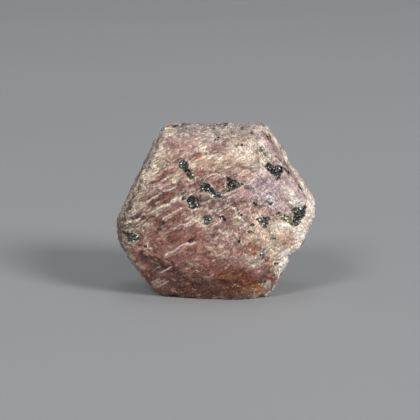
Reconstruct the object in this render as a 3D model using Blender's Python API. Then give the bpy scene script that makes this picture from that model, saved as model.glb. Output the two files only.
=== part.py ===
"""A natural ruby crystal: a short, stout, six-sided prism of opaque corundum with worn edges.

It stands on one of its prism faces. X runs across the six-sided outline, Y runs along the crystal's
own axis, from the front basal face to the back one, and Z is up. The origin is on the rest face,
below the crystal's axis.
"""

import math
from collections import namedtuple

import bmesh
import bpy
import numpy as np
from mathutils import Vector, noise

MM = 0.001

# Driving dimensions.
HALF_WIDTH = 15.0 * MM  # from the axis to the left and right corners
HALF_THICK = 7.0 * MM  # from the middle to each basal face
AXIS_HEIGHT = 12.5 * MM  # the axis stands this high over the rest face
EDGE_SOFTNESS = 0.32 * MM  # how far the crystal's edges are worn round

# How finely the surface is divided, and the box whose grid is laid over it.
GRID_TURN = 26.0  # degrees: the grid runs along the main parting direction
BOX_HALF = (13.0 * MM, HALF_THICK, 13.0 * MM)
CELLS = (33, 18, 33)

# A crystal face: its outward direction round the axis (degrees from +X towards +Z), how far it leans
# to the front, and the point that it passes through: reach from the axis, in shares of HALF_WIDTH,
# at a depth behind the middle, in shares of HALF_THICK.
Face = namedtuple("Face", "turn lean reach depth")
FACES = {
    "top": Face(90, 3, 0.822, 0.0),
    "upper_right": Face(33.5, 3, 0.860, 0.0),
    "lower_right": Face(-30.5, -2, 0.852, 0.0),
    "bottom": Face(270, 0, 0.845, 0.0),
    "lower_left_corner": Face(242, 0, 0.980, 0.0),
    "lower_right_corner": Face(300, 0, 0.963, 0.0),
    "lower_left": Face(213.5, -1, 0.936, 0.0),
    "upper_left": Face(155.0, -2, 0.832, 0.0),
    "left_corner": Face(184, 0, 0.996, 0.0),
    "right_corner": Face(2, 0, 1.024, 0.0),
    "front": Face(100, 87, 0.0, -1.0),
    "front_top": Face(88, 58, 0.560, -1.0),
    "front_right": Face(24, 73, 0.400, -1.0),
    "front_lower_right": Face(-36, 64, 0.560, -1.0),
    "front_bottom": Face(272, 60, 0.660, -1.0),
    "front_lower_left": Face(243, 64, 0.560, -1.0),
    "front_left": Face(176, 62, 0.740, -1.0),
    "back": Face(290, -86, 0.0, 1.0),
    "back_top": Face(72, -58, 0.600, 1.0),
    "back_left": Face(158, -66, 0.560, 1.0),
    "back_right": Face(4, -60, 0.640, 1.0),
    "back_bottom": Face(262, -55, 0.640, 1.0),
    "back_lower_left": Face(214, -62, 0.640, 1.0),
    "back_lower_right": Face(-40, -57, 0.700, 1.0),
}

# A parting ledge on a basal face. It starts x to the right of the axis and z above it, and runs
# length along turn. The plate on its lower side stands proud by height, and sinks back over width.
Ledge = namedtuple("Ledge", "x z length height width turn")
FRONT_LEDGES = (
    Ledge(-9.6 * MM, 5.7 * MM, 5.0 * MM, 0.26 * MM, 2.2 * MM, 26),
    Ledge(-12.4 * MM, 3.0 * MM, 10.0 * MM, 0.34 * MM, 2.2 * MM, 26),
    Ledge(-10.1 * MM, 1.3 * MM, 5.6 * MM, 0.42 * MM, 2.0 * MM, 26),
    Ledge(-8.6 * MM, 0.0 * MM, 5.2 * MM, 0.30 * MM, 2.0 * MM, 26),
    Ledge(-7.8 * MM, -2.1 * MM, 5.8 * MM, 0.42 * MM, 3.0 * MM, 26),
    Ledge(-8.6 * MM, -5.9 * MM, 6.6 * MM, 0.46 * MM, 3.4 * MM, 26),
    Ledge(-9.2 * MM, -8.4 * MM, 3.2 * MM, 0.34 * MM, 1.8 * MM, 26),
    Ledge(0.0 * MM, 3.0 * MM, 4.9 * MM, 0.52 * MM, 5.0 * MM, 26),
    Ledge(4.2 * MM, 5.1 * MM, 3.8 * MM, 0.44 * MM, 4.0 * MM, 44),
    Ledge(3.4 * MM, -3.8 * MM, 4.2 * MM, 0.34 * MM, 3.2 * MM, 26),
    Ledge(-2.7 * MM, 0.5 * MM, 2.6 * MM, 0.36 * MM, 2.6 * MM, -44),
    Ledge(-12.6 * MM, -3.4 * MM, 7.0 * MM, 0.40 * MM, 2.6 * MM, -26),
    Ledge(6.2 * MM, -7.4 * MM, 4.0 * MM, 0.36 * MM, 2.6 * MM, -34),
)
BACK_LEDGES = (
    Ledge(-9.0 * MM, 5.2 * MM, 12.0 * MM, 0.50 * MM, 3.6 * MM, -34),
    Ledge(-11.0 * MM, 1.0 * MM, 9.0 * MM, 0.42 * MM, 3.0 * MM, -34),
    Ledge(0.5 * MM, 7.4 * MM, 8.5 * MM, 0.40 * MM, 3.4 * MM, -34),
    Ledge(-2.0 * MM, -5.6 * MM, 7.5 * MM, 0.44 * MM, 3.2 * MM, 26),
    Ledge(-7.5 * MM, -4.4 * MM, 5.0 * MM, 0.36 * MM, 2.4 * MM, 26),
    Ledge(4.0 * MM, -0.6 * MM, 6.0 * MM, 0.40 * MM, 2.8 * MM, 26),
)
RISER = 0.12 * MM  # half the breadth of a ledge's steep side
LEDGE_END = 0.9 * MM  # a ledge dies out over this length

# Growth steps round the prism faces: where along the axis, and how far the faces beyond it rise.
GROWTH_STEPS = (
    (-3.9 * MM, 0.26 * MM),
    (-1.2 * MM, -0.20 * MM),
    (1.6 * MM, 0.24 * MM),
    (4.1 * MM, -0.28 * MM),
)

# A notch across the lower-right prism face, and the bulge over it.
NOTCH_Z = -6.5 * MM  # where the notch is deepest, over the axis
NOTCH_DEPTH = 0.95 * MM
NOTCH_SLOPE = 1.5 * MM  # it slopes in over this height
NOTCH_FLOOR = 0.24 * MM  # and ends in a steep lower side after this one
BULGE_RISE = 0.40 * MM
BULGE_TOP = 5.2 * MM  # the bulge starts this far over the notch
BULGE_FULL = 3.0 * MM  # and has its full rise here

# A pit that holds a dark grain: place on a basal face, then half its length, half its breadth, the
# turn of its length and its depth.
Pit = namedtuple("Pit", "x z long broad turn depth")
FRONT_PITS = (
    Pit(-5.2 * MM, 8.5 * MM, 0.9 * MM, 0.8 * MM, -60, 0.30 * MM),
    Pit(-4.2 * MM, 7.0 * MM, 0.9 * MM, 0.7 * MM, -55, 0.30 * MM),
    Pit(-1.6 * MM, 4.9 * MM, 1.3 * MM, 0.9 * MM, -35, 0.34 * MM),
    Pit(2.3 * MM, 5.6 * MM, 1.1 * MM, 0.9 * MM, -50, 0.36 * MM),
    Pit(-3.3 * MM, 2.9 * MM, 1.1 * MM, 1.0 * MM, -30, 0.34 * MM),
    Pit(-1.4 * MM, 0.1 * MM, 0.9 * MM, 0.8 * MM, 20, 0.28 * MM),
    Pit(0.9 * MM, 0.1 * MM, 0.8 * MM, 0.7 * MM, 50, 0.26 * MM),
    Pit(8.7 * MM, 7.6 * MM, 1.5 * MM, 1.0 * MM, -35, 0.36 * MM),
    Pit(12.2 * MM, 0.6 * MM, 1.6 * MM, 1.2 * MM, 55, 0.40 * MM),
    Pit(7.2 * MM, -0.2 * MM, 1.1 * MM, 0.8 * MM, 0, 0.30 * MM),
    Pit(8.2 * MM, 3.1 * MM, 0.9 * MM, 0.8 * MM, 30, 0.24 * MM),
    Pit(-12.5 * MM, -2.9 * MM, 1.4 * MM, 0.8 * MM, -25, 0.46 * MM),
    Pit(-3.6 * MM, -3.1 * MM, 0.8 * MM, 0.6 * MM, 26, 0.26 * MM),
)
BACK_PITS = (
    Pit(-6.0 * MM, 4.6 * MM, 1.4 * MM, 1.0 * MM, -40, 0.40 * MM),
    Pit(1.5 * MM, 3.2 * MM, 1.2 * MM, 0.9 * MM, 30, 0.34 * MM),
    Pit(6.8 * MM, -2.4 * MM, 1.5 * MM, 1.1 * MM, 60, 0.42 * MM),
    Pit(-3.4 * MM, -2.6 * MM, 1.0 * MM, 0.8 * MM, 0, 0.30 * MM),
)

# Low lumps all over: their breadth and height.
LUMPS = ((9.0 * MM, 0.42 * MM), (3.2 * MM, 0.20 * MM))

RUBY = ((0.36, 0.16, 0.14, 1.0), 0.52)  # base colour and roughness


def clear_scene():
    for obj in list(bpy.data.objects):
        bpy.data.objects.remove(obj, do_unlink=True)


def outward(face):
    """The unit vector that a crystal face looks along."""
    turn = math.radians(face.turn)
    lean = math.radians(face.lean)
    return np.array(
        (math.cos(lean) * math.cos(turn), -math.sin(lean), math.cos(lean) * math.sin(turn))
    )


def face_planes():
    """The crystal faces as unit normals and distances from the middle of the axis."""
    normals = np.array([outward(face) for face in FACES.values()])
    through = np.array(
        [
            (
                face.reach * HALF_WIDTH * math.cos(math.radians(face.turn)),
                face.depth * HALF_THICK,
                face.reach * HALF_WIDTH * math.sin(math.radians(face.turn)),
            )
            for face in FACES.values()
        ]
    )
    return normals, (normals * through).sum(axis=1)


def beyond_faces(points, normals, distances):
    """How far points lie outside the worn crystal, and the outward normals there.

    The worn crystal is the smooth maximum over its faces, so each edge is rounded a little.
    """
    past = (points @ normals.T - distances) / EDGE_SOFTNESS
    most = past.max(axis=1, keepdims=True)
    shares = np.exp(past - most)
    total = shares.sum(axis=1, keepdims=True)
    gradient = (shares / total) @ normals
    gradient /= np.linalg.norm(gradient, axis=1, keepdims=True)
    return (EDGE_SOFTNESS * (most + np.log(total)))[:, 0], gradient


def onto_crystal(directions):
    """Where rays from the middle leave the worn crystal, and its normals there."""
    normals, distances = face_planes()
    near = np.zeros(len(directions))
    far = np.full(len(directions), 3.0 * HALF_WIDTH)
    for _ in range(40):
        middle = (near + far) / 2
        inside = beyond_faces(directions * middle[:, None], normals, distances)[0] < 0
        near = np.where(inside, middle, near)
        far = np.where(inside, far, middle)
    points = directions * near[:, None]
    return points, beyond_faces(points, normals, distances)[1]


def ease(low, high, values):
    """0 up to low, 1 from high, and a smooth rise between them."""
    share = np.clip((values - low) / (high - low), 0.0, 1.0)
    return share * share * (3.0 - 2.0 * share)


def along_and_across(x, z, turn):
    """Distances along a line turned in the XZ-plane, and to its lower side."""
    angle = math.radians(turn)
    return (
        x * math.cos(angle) + z * math.sin(angle),
        x * math.sin(angle) - z * math.cos(angle),
    )


def ledge_rise(points, ledges):
    """How far the plates under the parting ledges stand proud."""
    rise = np.zeros(len(points))
    for ledge in ledges:
        along, below = along_and_across(
            points[:, 0] - ledge.x, points[:, 2] - ledge.z, ledge.turn
        )
        ends = ease(0.0, LEDGE_END, along) * ease(0.0, LEDGE_END, ledge.length - along)
        plate = np.clip(1.0 - below / ledge.width, 0.0, 1.0)
        rise += ledge.height * ease(-RISER, RISER, below) * plate * ends
    return rise


def pit_depth(points, pits):
    """How far the surface sinks at the dark grains."""
    depth = np.zeros(len(points))
    for pit in pits:
        along, across = along_and_across(
            points[:, 0] - pit.x, points[:, 2] - pit.z, pit.turn
        )
        reach = np.hypot(along / pit.long, across / pit.broad)
        depth = np.maximum(depth, pit.depth * (1.0 - ease(0.55, 1.25, reach)))
    return depth


def step_rise(points):
    """How far the growth steps lift the prism faces."""
    rise = np.zeros(len(points))
    for where, height in GROWTH_STEPS:
        rise += height * ease(-RISER, RISER, points[:, 1] - where)
    return rise


def notch_rise(points):
    """How far the notch and the bulge above it move the face: in where negative."""
    below = NOTCH_Z - points[:, 2]
    sloped = ease(-NOTCH_SLOPE, 0.0, below)
    notch = sloped * (1.0 - ease(-RISER, RISER, below - NOTCH_FLOOR))
    bulge = ease(-BULGE_TOP, -BULGE_FULL, below) * (1.0 - sloped)
    return BULGE_RISE * bulge - NOTCH_DEPTH * notch


def lump_rise(points):
    rise = np.zeros(len(points))
    for breadth, height in LUMPS:
        rise += height * np.array([noise.noise(Vector(p) / breadth) for p in points])
    return rise


def relief(points, normals):
    """How far each point of the worn crystal moves along its normal."""
    front = ease(0.45, 0.80, -normals[:, 1])
    back = ease(0.45, 0.80, normals[:, 1])
    sides = ease(0.55, 0.90, np.hypot(normals[:, 0], normals[:, 2]))
    lower_right = sides * ease(0.75, 0.95, normals @ outward(FACES["lower_right"]))
    rise = lump_rise(points)
    rise += front * (ledge_rise(points, FRONT_LEDGES) - pit_depth(points, FRONT_PITS))
    rise += back * (ledge_rise(points, BACK_LEDGES) - pit_depth(points, BACK_PITS))
    rise += sides * step_rise(points)
    rise += lower_right * notch_rise(points)
    return rise


def grid_lines(half, cells, kept=()):
    """Even lines across the box, with those nearest to a kept place moved to either side of it."""
    lines = [half * (2 * i / cells - 1) for i in range(1, cells)]
    for place in kept:
        nearest = sorted(lines, key=lambda line: abs(line - place))[:2]
        lines = [line for line in lines if line not in nearest]
        lines += [place - RISER, place + RISER]
    return sorted(lines)


def gridded_box():
    """A box cut into a grid whose lines run along the parting direction and the growth steps."""
    across = [
        along_and_across(ledge.x, ledge.z, ledge.turn)[1]
        for ledge in FRONT_LEDGES
        if ledge.turn == GRID_TURN
    ]
    cuts = (
        grid_lines(BOX_HALF[0], CELLS[0]),
        grid_lines(BOX_HALF[1], CELLS[1], [where for where, _ in GROWTH_STEPS]),
        grid_lines(BOX_HALF[2], CELLS[2], [-place for place in across]),
    )
    box = bmesh.new()
    bmesh.ops.create_cube(box, size=2.0)
    bmesh.ops.scale(box, vec=BOX_HALF, verts=box.verts)
    for axis, lines in enumerate(cuts):
        normal = Vector((axis == 0, axis == 1, axis == 2))
        for line in lines:
            bmesh.ops.bisect_plane(
                box,
                geom=box.verts[:] + box.edges[:] + box.faces[:],
                dist=1e-7,
                plane_co=normal * line,
                plane_no=normal,
            )
    return box


def lay_over_crystal(box):
    """Moves the box's grid out to the crystal's surface, in the XZ-plane turned to the parting."""
    corners = np.array([vert.co for vert in box.verts])
    angle = math.radians(GRID_TURN)
    turned = np.column_stack(
        (
            corners[:, 0] * math.cos(angle) - corners[:, 2] * math.sin(angle),
            corners[:, 1],
            corners[:, 0] * math.sin(angle) + corners[:, 2] * math.cos(angle),
        )
    )
    directions = turned / np.linalg.norm(turned, axis=1, keepdims=True)
    points, normals = onto_crystal(directions)
    points += normals * relief(points, normals)[:, None]
    points[:, 2] += AXIS_HEIGHT
    for vert, point in zip(box.verts, points):
        vert.co = point


def cut_rest_face(box):
    """Cuts the underside flat where the crystal rests, as one level face."""
    cut = bmesh.ops.bisect_plane(
        box,
        geom=box.verts[:] + box.edges[:] + box.faces[:],
        dist=1e-6,
        plane_co=(0.0, 0.0, 0.0),
        plane_no=(0.0, 0.0, 1.0),
        clear_inner=True,
    )
    rim = [item for item in cut["geom_cut"] if isinstance(item, bmesh.types.BMEdge)]
    bmesh.ops.contextual_create(box, geom=rim)


def ruby_material():
    colour, roughness = RUBY
    material = bpy.data.materials.new("ruby")
    material.use_nodes = True
    shader = material.node_tree.nodes["Principled BSDF"]
    shader.inputs["Base Color"].default_value = colour
    shader.inputs["Roughness"].default_value = roughness
    shader.inputs["Metallic"].default_value = 0.0
    return material


def ruby_crystal():
    box = gridded_box()
    lay_over_crystal(box)
    cut_rest_face(box)
    bmesh.ops.recalc_face_normals(box, faces=box.faces)
    bmesh.ops.triangulate(box, faces=[face for face in box.faces if len(face.verts) > 3])
    mesh = bpy.data.meshes.new("ruby_crystal")
    box.to_mesh(mesh)
    box.free()
    mesh.materials.append(ruby_material())
    return bpy.data.objects.new("ruby_crystal", mesh)


def main():
    clear_scene()
    specimen = bpy.data.collections.new("ruby_crystal")
    bpy.context.scene.collection.children.link(specimen)
    specimen.objects.link(ruby_crystal())


main()
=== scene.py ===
"""A natural ruby crystal: opaque, short and six-sided, with worn edges, parting ledges and dark grains.

It stands on one prism face. X runs across the six-sided outline, Y along the crystal's axis to the
back, and Z is up. Places that were read off the photograph are given in its pixels, and each one is
carried to the crystal's surface along the camera's line of sight.
"""

import math
import random
from collections import namedtuple
from types import SimpleNamespace

import bmesh
import bpy
import numpy as np
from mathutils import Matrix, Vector, noise
from mathutils.bvhtree import BVHTree
from mathutils.kdtree import KDTree


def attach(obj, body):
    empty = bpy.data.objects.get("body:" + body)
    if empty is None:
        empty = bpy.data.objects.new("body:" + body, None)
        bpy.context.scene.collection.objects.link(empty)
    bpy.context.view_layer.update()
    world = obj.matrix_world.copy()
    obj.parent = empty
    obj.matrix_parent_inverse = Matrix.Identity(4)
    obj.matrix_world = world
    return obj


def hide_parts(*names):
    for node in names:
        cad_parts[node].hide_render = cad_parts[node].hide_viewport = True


MM = 0.001

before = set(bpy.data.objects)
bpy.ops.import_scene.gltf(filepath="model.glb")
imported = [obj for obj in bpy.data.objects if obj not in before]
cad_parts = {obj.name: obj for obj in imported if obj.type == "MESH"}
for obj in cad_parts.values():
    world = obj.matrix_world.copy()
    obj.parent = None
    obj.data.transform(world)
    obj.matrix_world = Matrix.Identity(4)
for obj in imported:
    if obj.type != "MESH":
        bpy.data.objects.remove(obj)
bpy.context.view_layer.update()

# The camera and the photograph's frame.
PHOTO_SIZE = 420
PHOTO_MIDDLE = PHOTO_SIZE / 2
LENS_MM = 150.0
SENSOR_MM = 36.0
ELEVATION = math.radians(13.0)
AIM = np.array((-0.9, -7.0, 14.16)) * MM
DISTANCE = 258.0 * MM
RIGHT = np.array((1.0, 0.0, 0.0))
UP = np.array((0.0, math.sin(ELEVATION), math.cos(ELEVATION)))
AHEAD = np.array((0.0, math.cos(ELEVATION), -math.sin(ELEVATION)))
EYE = AIM - DISTANCE * AHEAD
FOCAL_PX = LENS_MM / SENSOR_MM * PHOTO_SIZE
PX = 0.149 * MM  # what one pixel of the photograph covers on the crystal
FOOT = 0.3 * MM  # no loose grain sits lower than this

# The crystal's form, with the same values as its solid.
HALF_WIDTH = 15.0 * MM
HALF_THICK = 7.0 * MM
AXIS_HEIGHT = 12.5 * MM
AXIS = np.array((0.0, 0.0, AXIS_HEIGHT))
TURNED_OVER = np.array((1.0, -1.0, -1.0))  # carries a place on the near side to the far side
EDGE_SOFTNESS = 0.32 * MM
PARTING_TURN = 26.0
BOX_HALF = (13.0 * MM, HALF_THICK, 13.0 * MM)
CELLS = (168, 56, 168)
HALVINGS = 26

# A crystal face: its outward direction round the axis (degrees from +X towards +Z), how far it leans
# to the front, and the point that it passes through: reach from the axis, in shares of HALF_WIDTH,
# at a depth behind the middle, in shares of HALF_THICK.
Face = namedtuple("Face", "turn lean reach depth")
FACES = {
    "top": Face(90, 3, 0.822, 0.0),
    "upper_right": Face(33.5, 3, 0.860, 0.0),
    "lower_right": Face(-30.5, -2, 0.852, 0.0),
    "bottom": Face(270, 0, 0.845, 0.0),
    "lower_left_corner": Face(242, 0, 0.980, 0.0),
    "lower_right_corner": Face(300, 0, 0.963, 0.0),
    "lower_left": Face(213.5, -1, 0.936, 0.0),
    "upper_left": Face(155.0, -2, 0.832, 0.0),
    "left_corner": Face(184, 0, 0.996, 0.0),
    "right_corner": Face(2, 0, 1.024, 0.0),
    "front": Face(100, 87, 0.0, -1.0),
    "front_top": Face(88, 58, 0.560, -1.0),
    "front_right": Face(24, 73, 0.400, -1.0),
    "front_lower_right": Face(-36, 64, 0.560, -1.0),
    "front_bottom": Face(272, 60, 0.660, -1.0),
    "front_lower_left": Face(243, 64, 0.560, -1.0),
    "front_left": Face(176, 62, 0.740, -1.0),
    "back": Face(290, -86, 0.0, 1.0),
    "back_top": Face(72, -58, 0.600, 1.0),
    "back_left": Face(158, -66, 0.560, 1.0),
    "back_right": Face(4, -60, 0.640, 1.0),
    "back_bottom": Face(262, -55, 0.640, 1.0),
    "back_lower_left": Face(214, -62, 0.640, 1.0),
    "back_lower_right": Face(-40, -57, 0.700, 1.0),
}


def sized(kind, *rows):
    """Things given by rows of lengths in millimetres with a turn in degrees at the end."""
    return [kind(*(MM * length for length in row[:-1]), row[-1]) for row in rows]


def rows_of(kind, *rows):
    return [kind(*row) for row in rows]


# A parting ledge on a basal face. It starts x to the right of the axis and z above it, and runs
# length along turn. The plate on its lower side stands proud by height, and sinks back over width.
Ledge = namedtuple("Ledge", "x z length height width turn")
FRONT_LEDGES = sized(
    Ledge,
    (-9.6, 5.7, 5, 0.26, 2.2, 26), (-12.4, 3, 10, 0.34, 2.2, 26), (-10.1, 1.3, 5.6, 0.42, 2, 26),
    (-8.6, 0, 5.2, 0.3, 2, 26), (-7.8, -2.1, 5.8, 0.42, 3, 26), (-8.6, -5.9, 6.6, 0.46, 3.4, 26),
    (-9.2, -8.4, 3.2, 0.34, 1.8, 26), (0, 3, 4.9, 0.52, 5, 26), (4.2, 5.1, 3.8, 0.44, 4, 44),
    (3.4, -3.8, 4.2, 0.34, 3.2, 26), (-2.7, 0.5, 2.6, 0.36, 2.6, -44), (-12.6, -3.4, 7, 0.4, 2.6, -26),
    (6.2, -7.4, 4, 0.36, 2.6, -34),
)
BACK_LEDGES = sized(
    Ledge,
    (-9, 5.2, 12, 0.5, 3.6, -34), (-11, 1, 9, 0.42, 3, -34), (0.5, 7.4, 8.5, 0.4, 3.4, -34),
    (-2, -5.6, 7.5, 0.44, 3.2, 26), (-7.5, -4.4, 5, 0.36, 2.4, 26), (4, -0.6, 6, 0.4, 2.8, 26),
)
RISER = 0.12 * MM
LEDGE_END = 0.9 * MM

# Growth steps round the prism faces: where along the axis, and how far the faces beyond it rise.
GROWTH_STEPS = (
    (-3.9 * MM, 0.26 * MM),
    (-1.2 * MM, -0.20 * MM),
    (1.6 * MM, 0.24 * MM),
    (4.1 * MM, -0.28 * MM),
)

# A notch across the lower-right prism face, and the bulge over it.
NOTCH_Z = -6.5 * MM
NOTCH_DEPTH = 0.95 * MM
NOTCH_SLOPE = 1.5 * MM
NOTCH_FLOOR = 0.24 * MM
BULGE_RISE = 0.40 * MM
BULGE_TOP = 5.2 * MM
BULGE_FULL = 3.0 * MM

# A pit that holds a dark grain: place on a basal face, then half its length, half its breadth, its
# depth and the turn of its length.
Pit = namedtuple("Pit", "x z long broad depth turn")
FRONT_PITS = sized(
    Pit,
    (-5.2, 8.5, 0.9, 0.8, 0.3, -60), (-4.2, 7, 0.9, 0.7, 0.3, -55), (-1.6, 4.9, 1.3, 0.9, 0.34, -35),
    (2.3, 5.6, 1.1, 0.9, 0.36, -50), (-3.3, 2.9, 1.1, 1, 0.34, -30), (-1.4, 0.1, 0.9, 0.8, 0.28, 20),
    (0.9, 0.1, 0.8, 0.7, 0.26, 50), (8.7, 7.6, 1.5, 1, 0.36, -35), (12.2, 0.6, 1.6, 1.2, 0.4, 55),
    (7.2, -0.2, 1.1, 0.8, 0.3, 0), (8.2, 3.1, 0.9, 0.8, 0.24, 30), (-12.5, -2.9, 1.4, 0.8, 0.46, -25),
    (-3.6, -3.1, 0.8, 0.6, 0.26, 26),
)
BACK_PITS = sized(
    Pit,
    (-6, 4.6, 1.4, 1, 0.4, -40), (1.5, 3.2, 1.2, 0.9, 0.34, 30), (6.8, -2.4, 1.5, 1.1, 0.42, 60),
    (-3.4, -2.6, 1, 0.8, 0.3, 0),
)

# Colours of the minerals, and of a painted highlight, as the eye sees them on a screen, 0 to 255.
COLOURS = {
    "pink": (172, 132, 120),
    "salmon": (162, 104, 88),
    "brick": (136, 82, 68),
    "umber": (88, 47, 36),
    "cream": (228, 208, 184),
    "peach": (214, 176, 152),
    "lilac": (192, 168, 174),
    "mauve": (152, 118, 116),
    "grey": (172, 158, 150),
    "rust": (108, 50, 14),
    "gold": (142, 88, 36),
    "amber": (200, 140, 78),
    "olive": (134, 124, 92),
    "black": (26, 28, 25),
    "white": (244, 228, 212),
    # A near-white that stands for painted highlight.
    "painted_highlight": (252, 240, 226),
}
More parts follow.
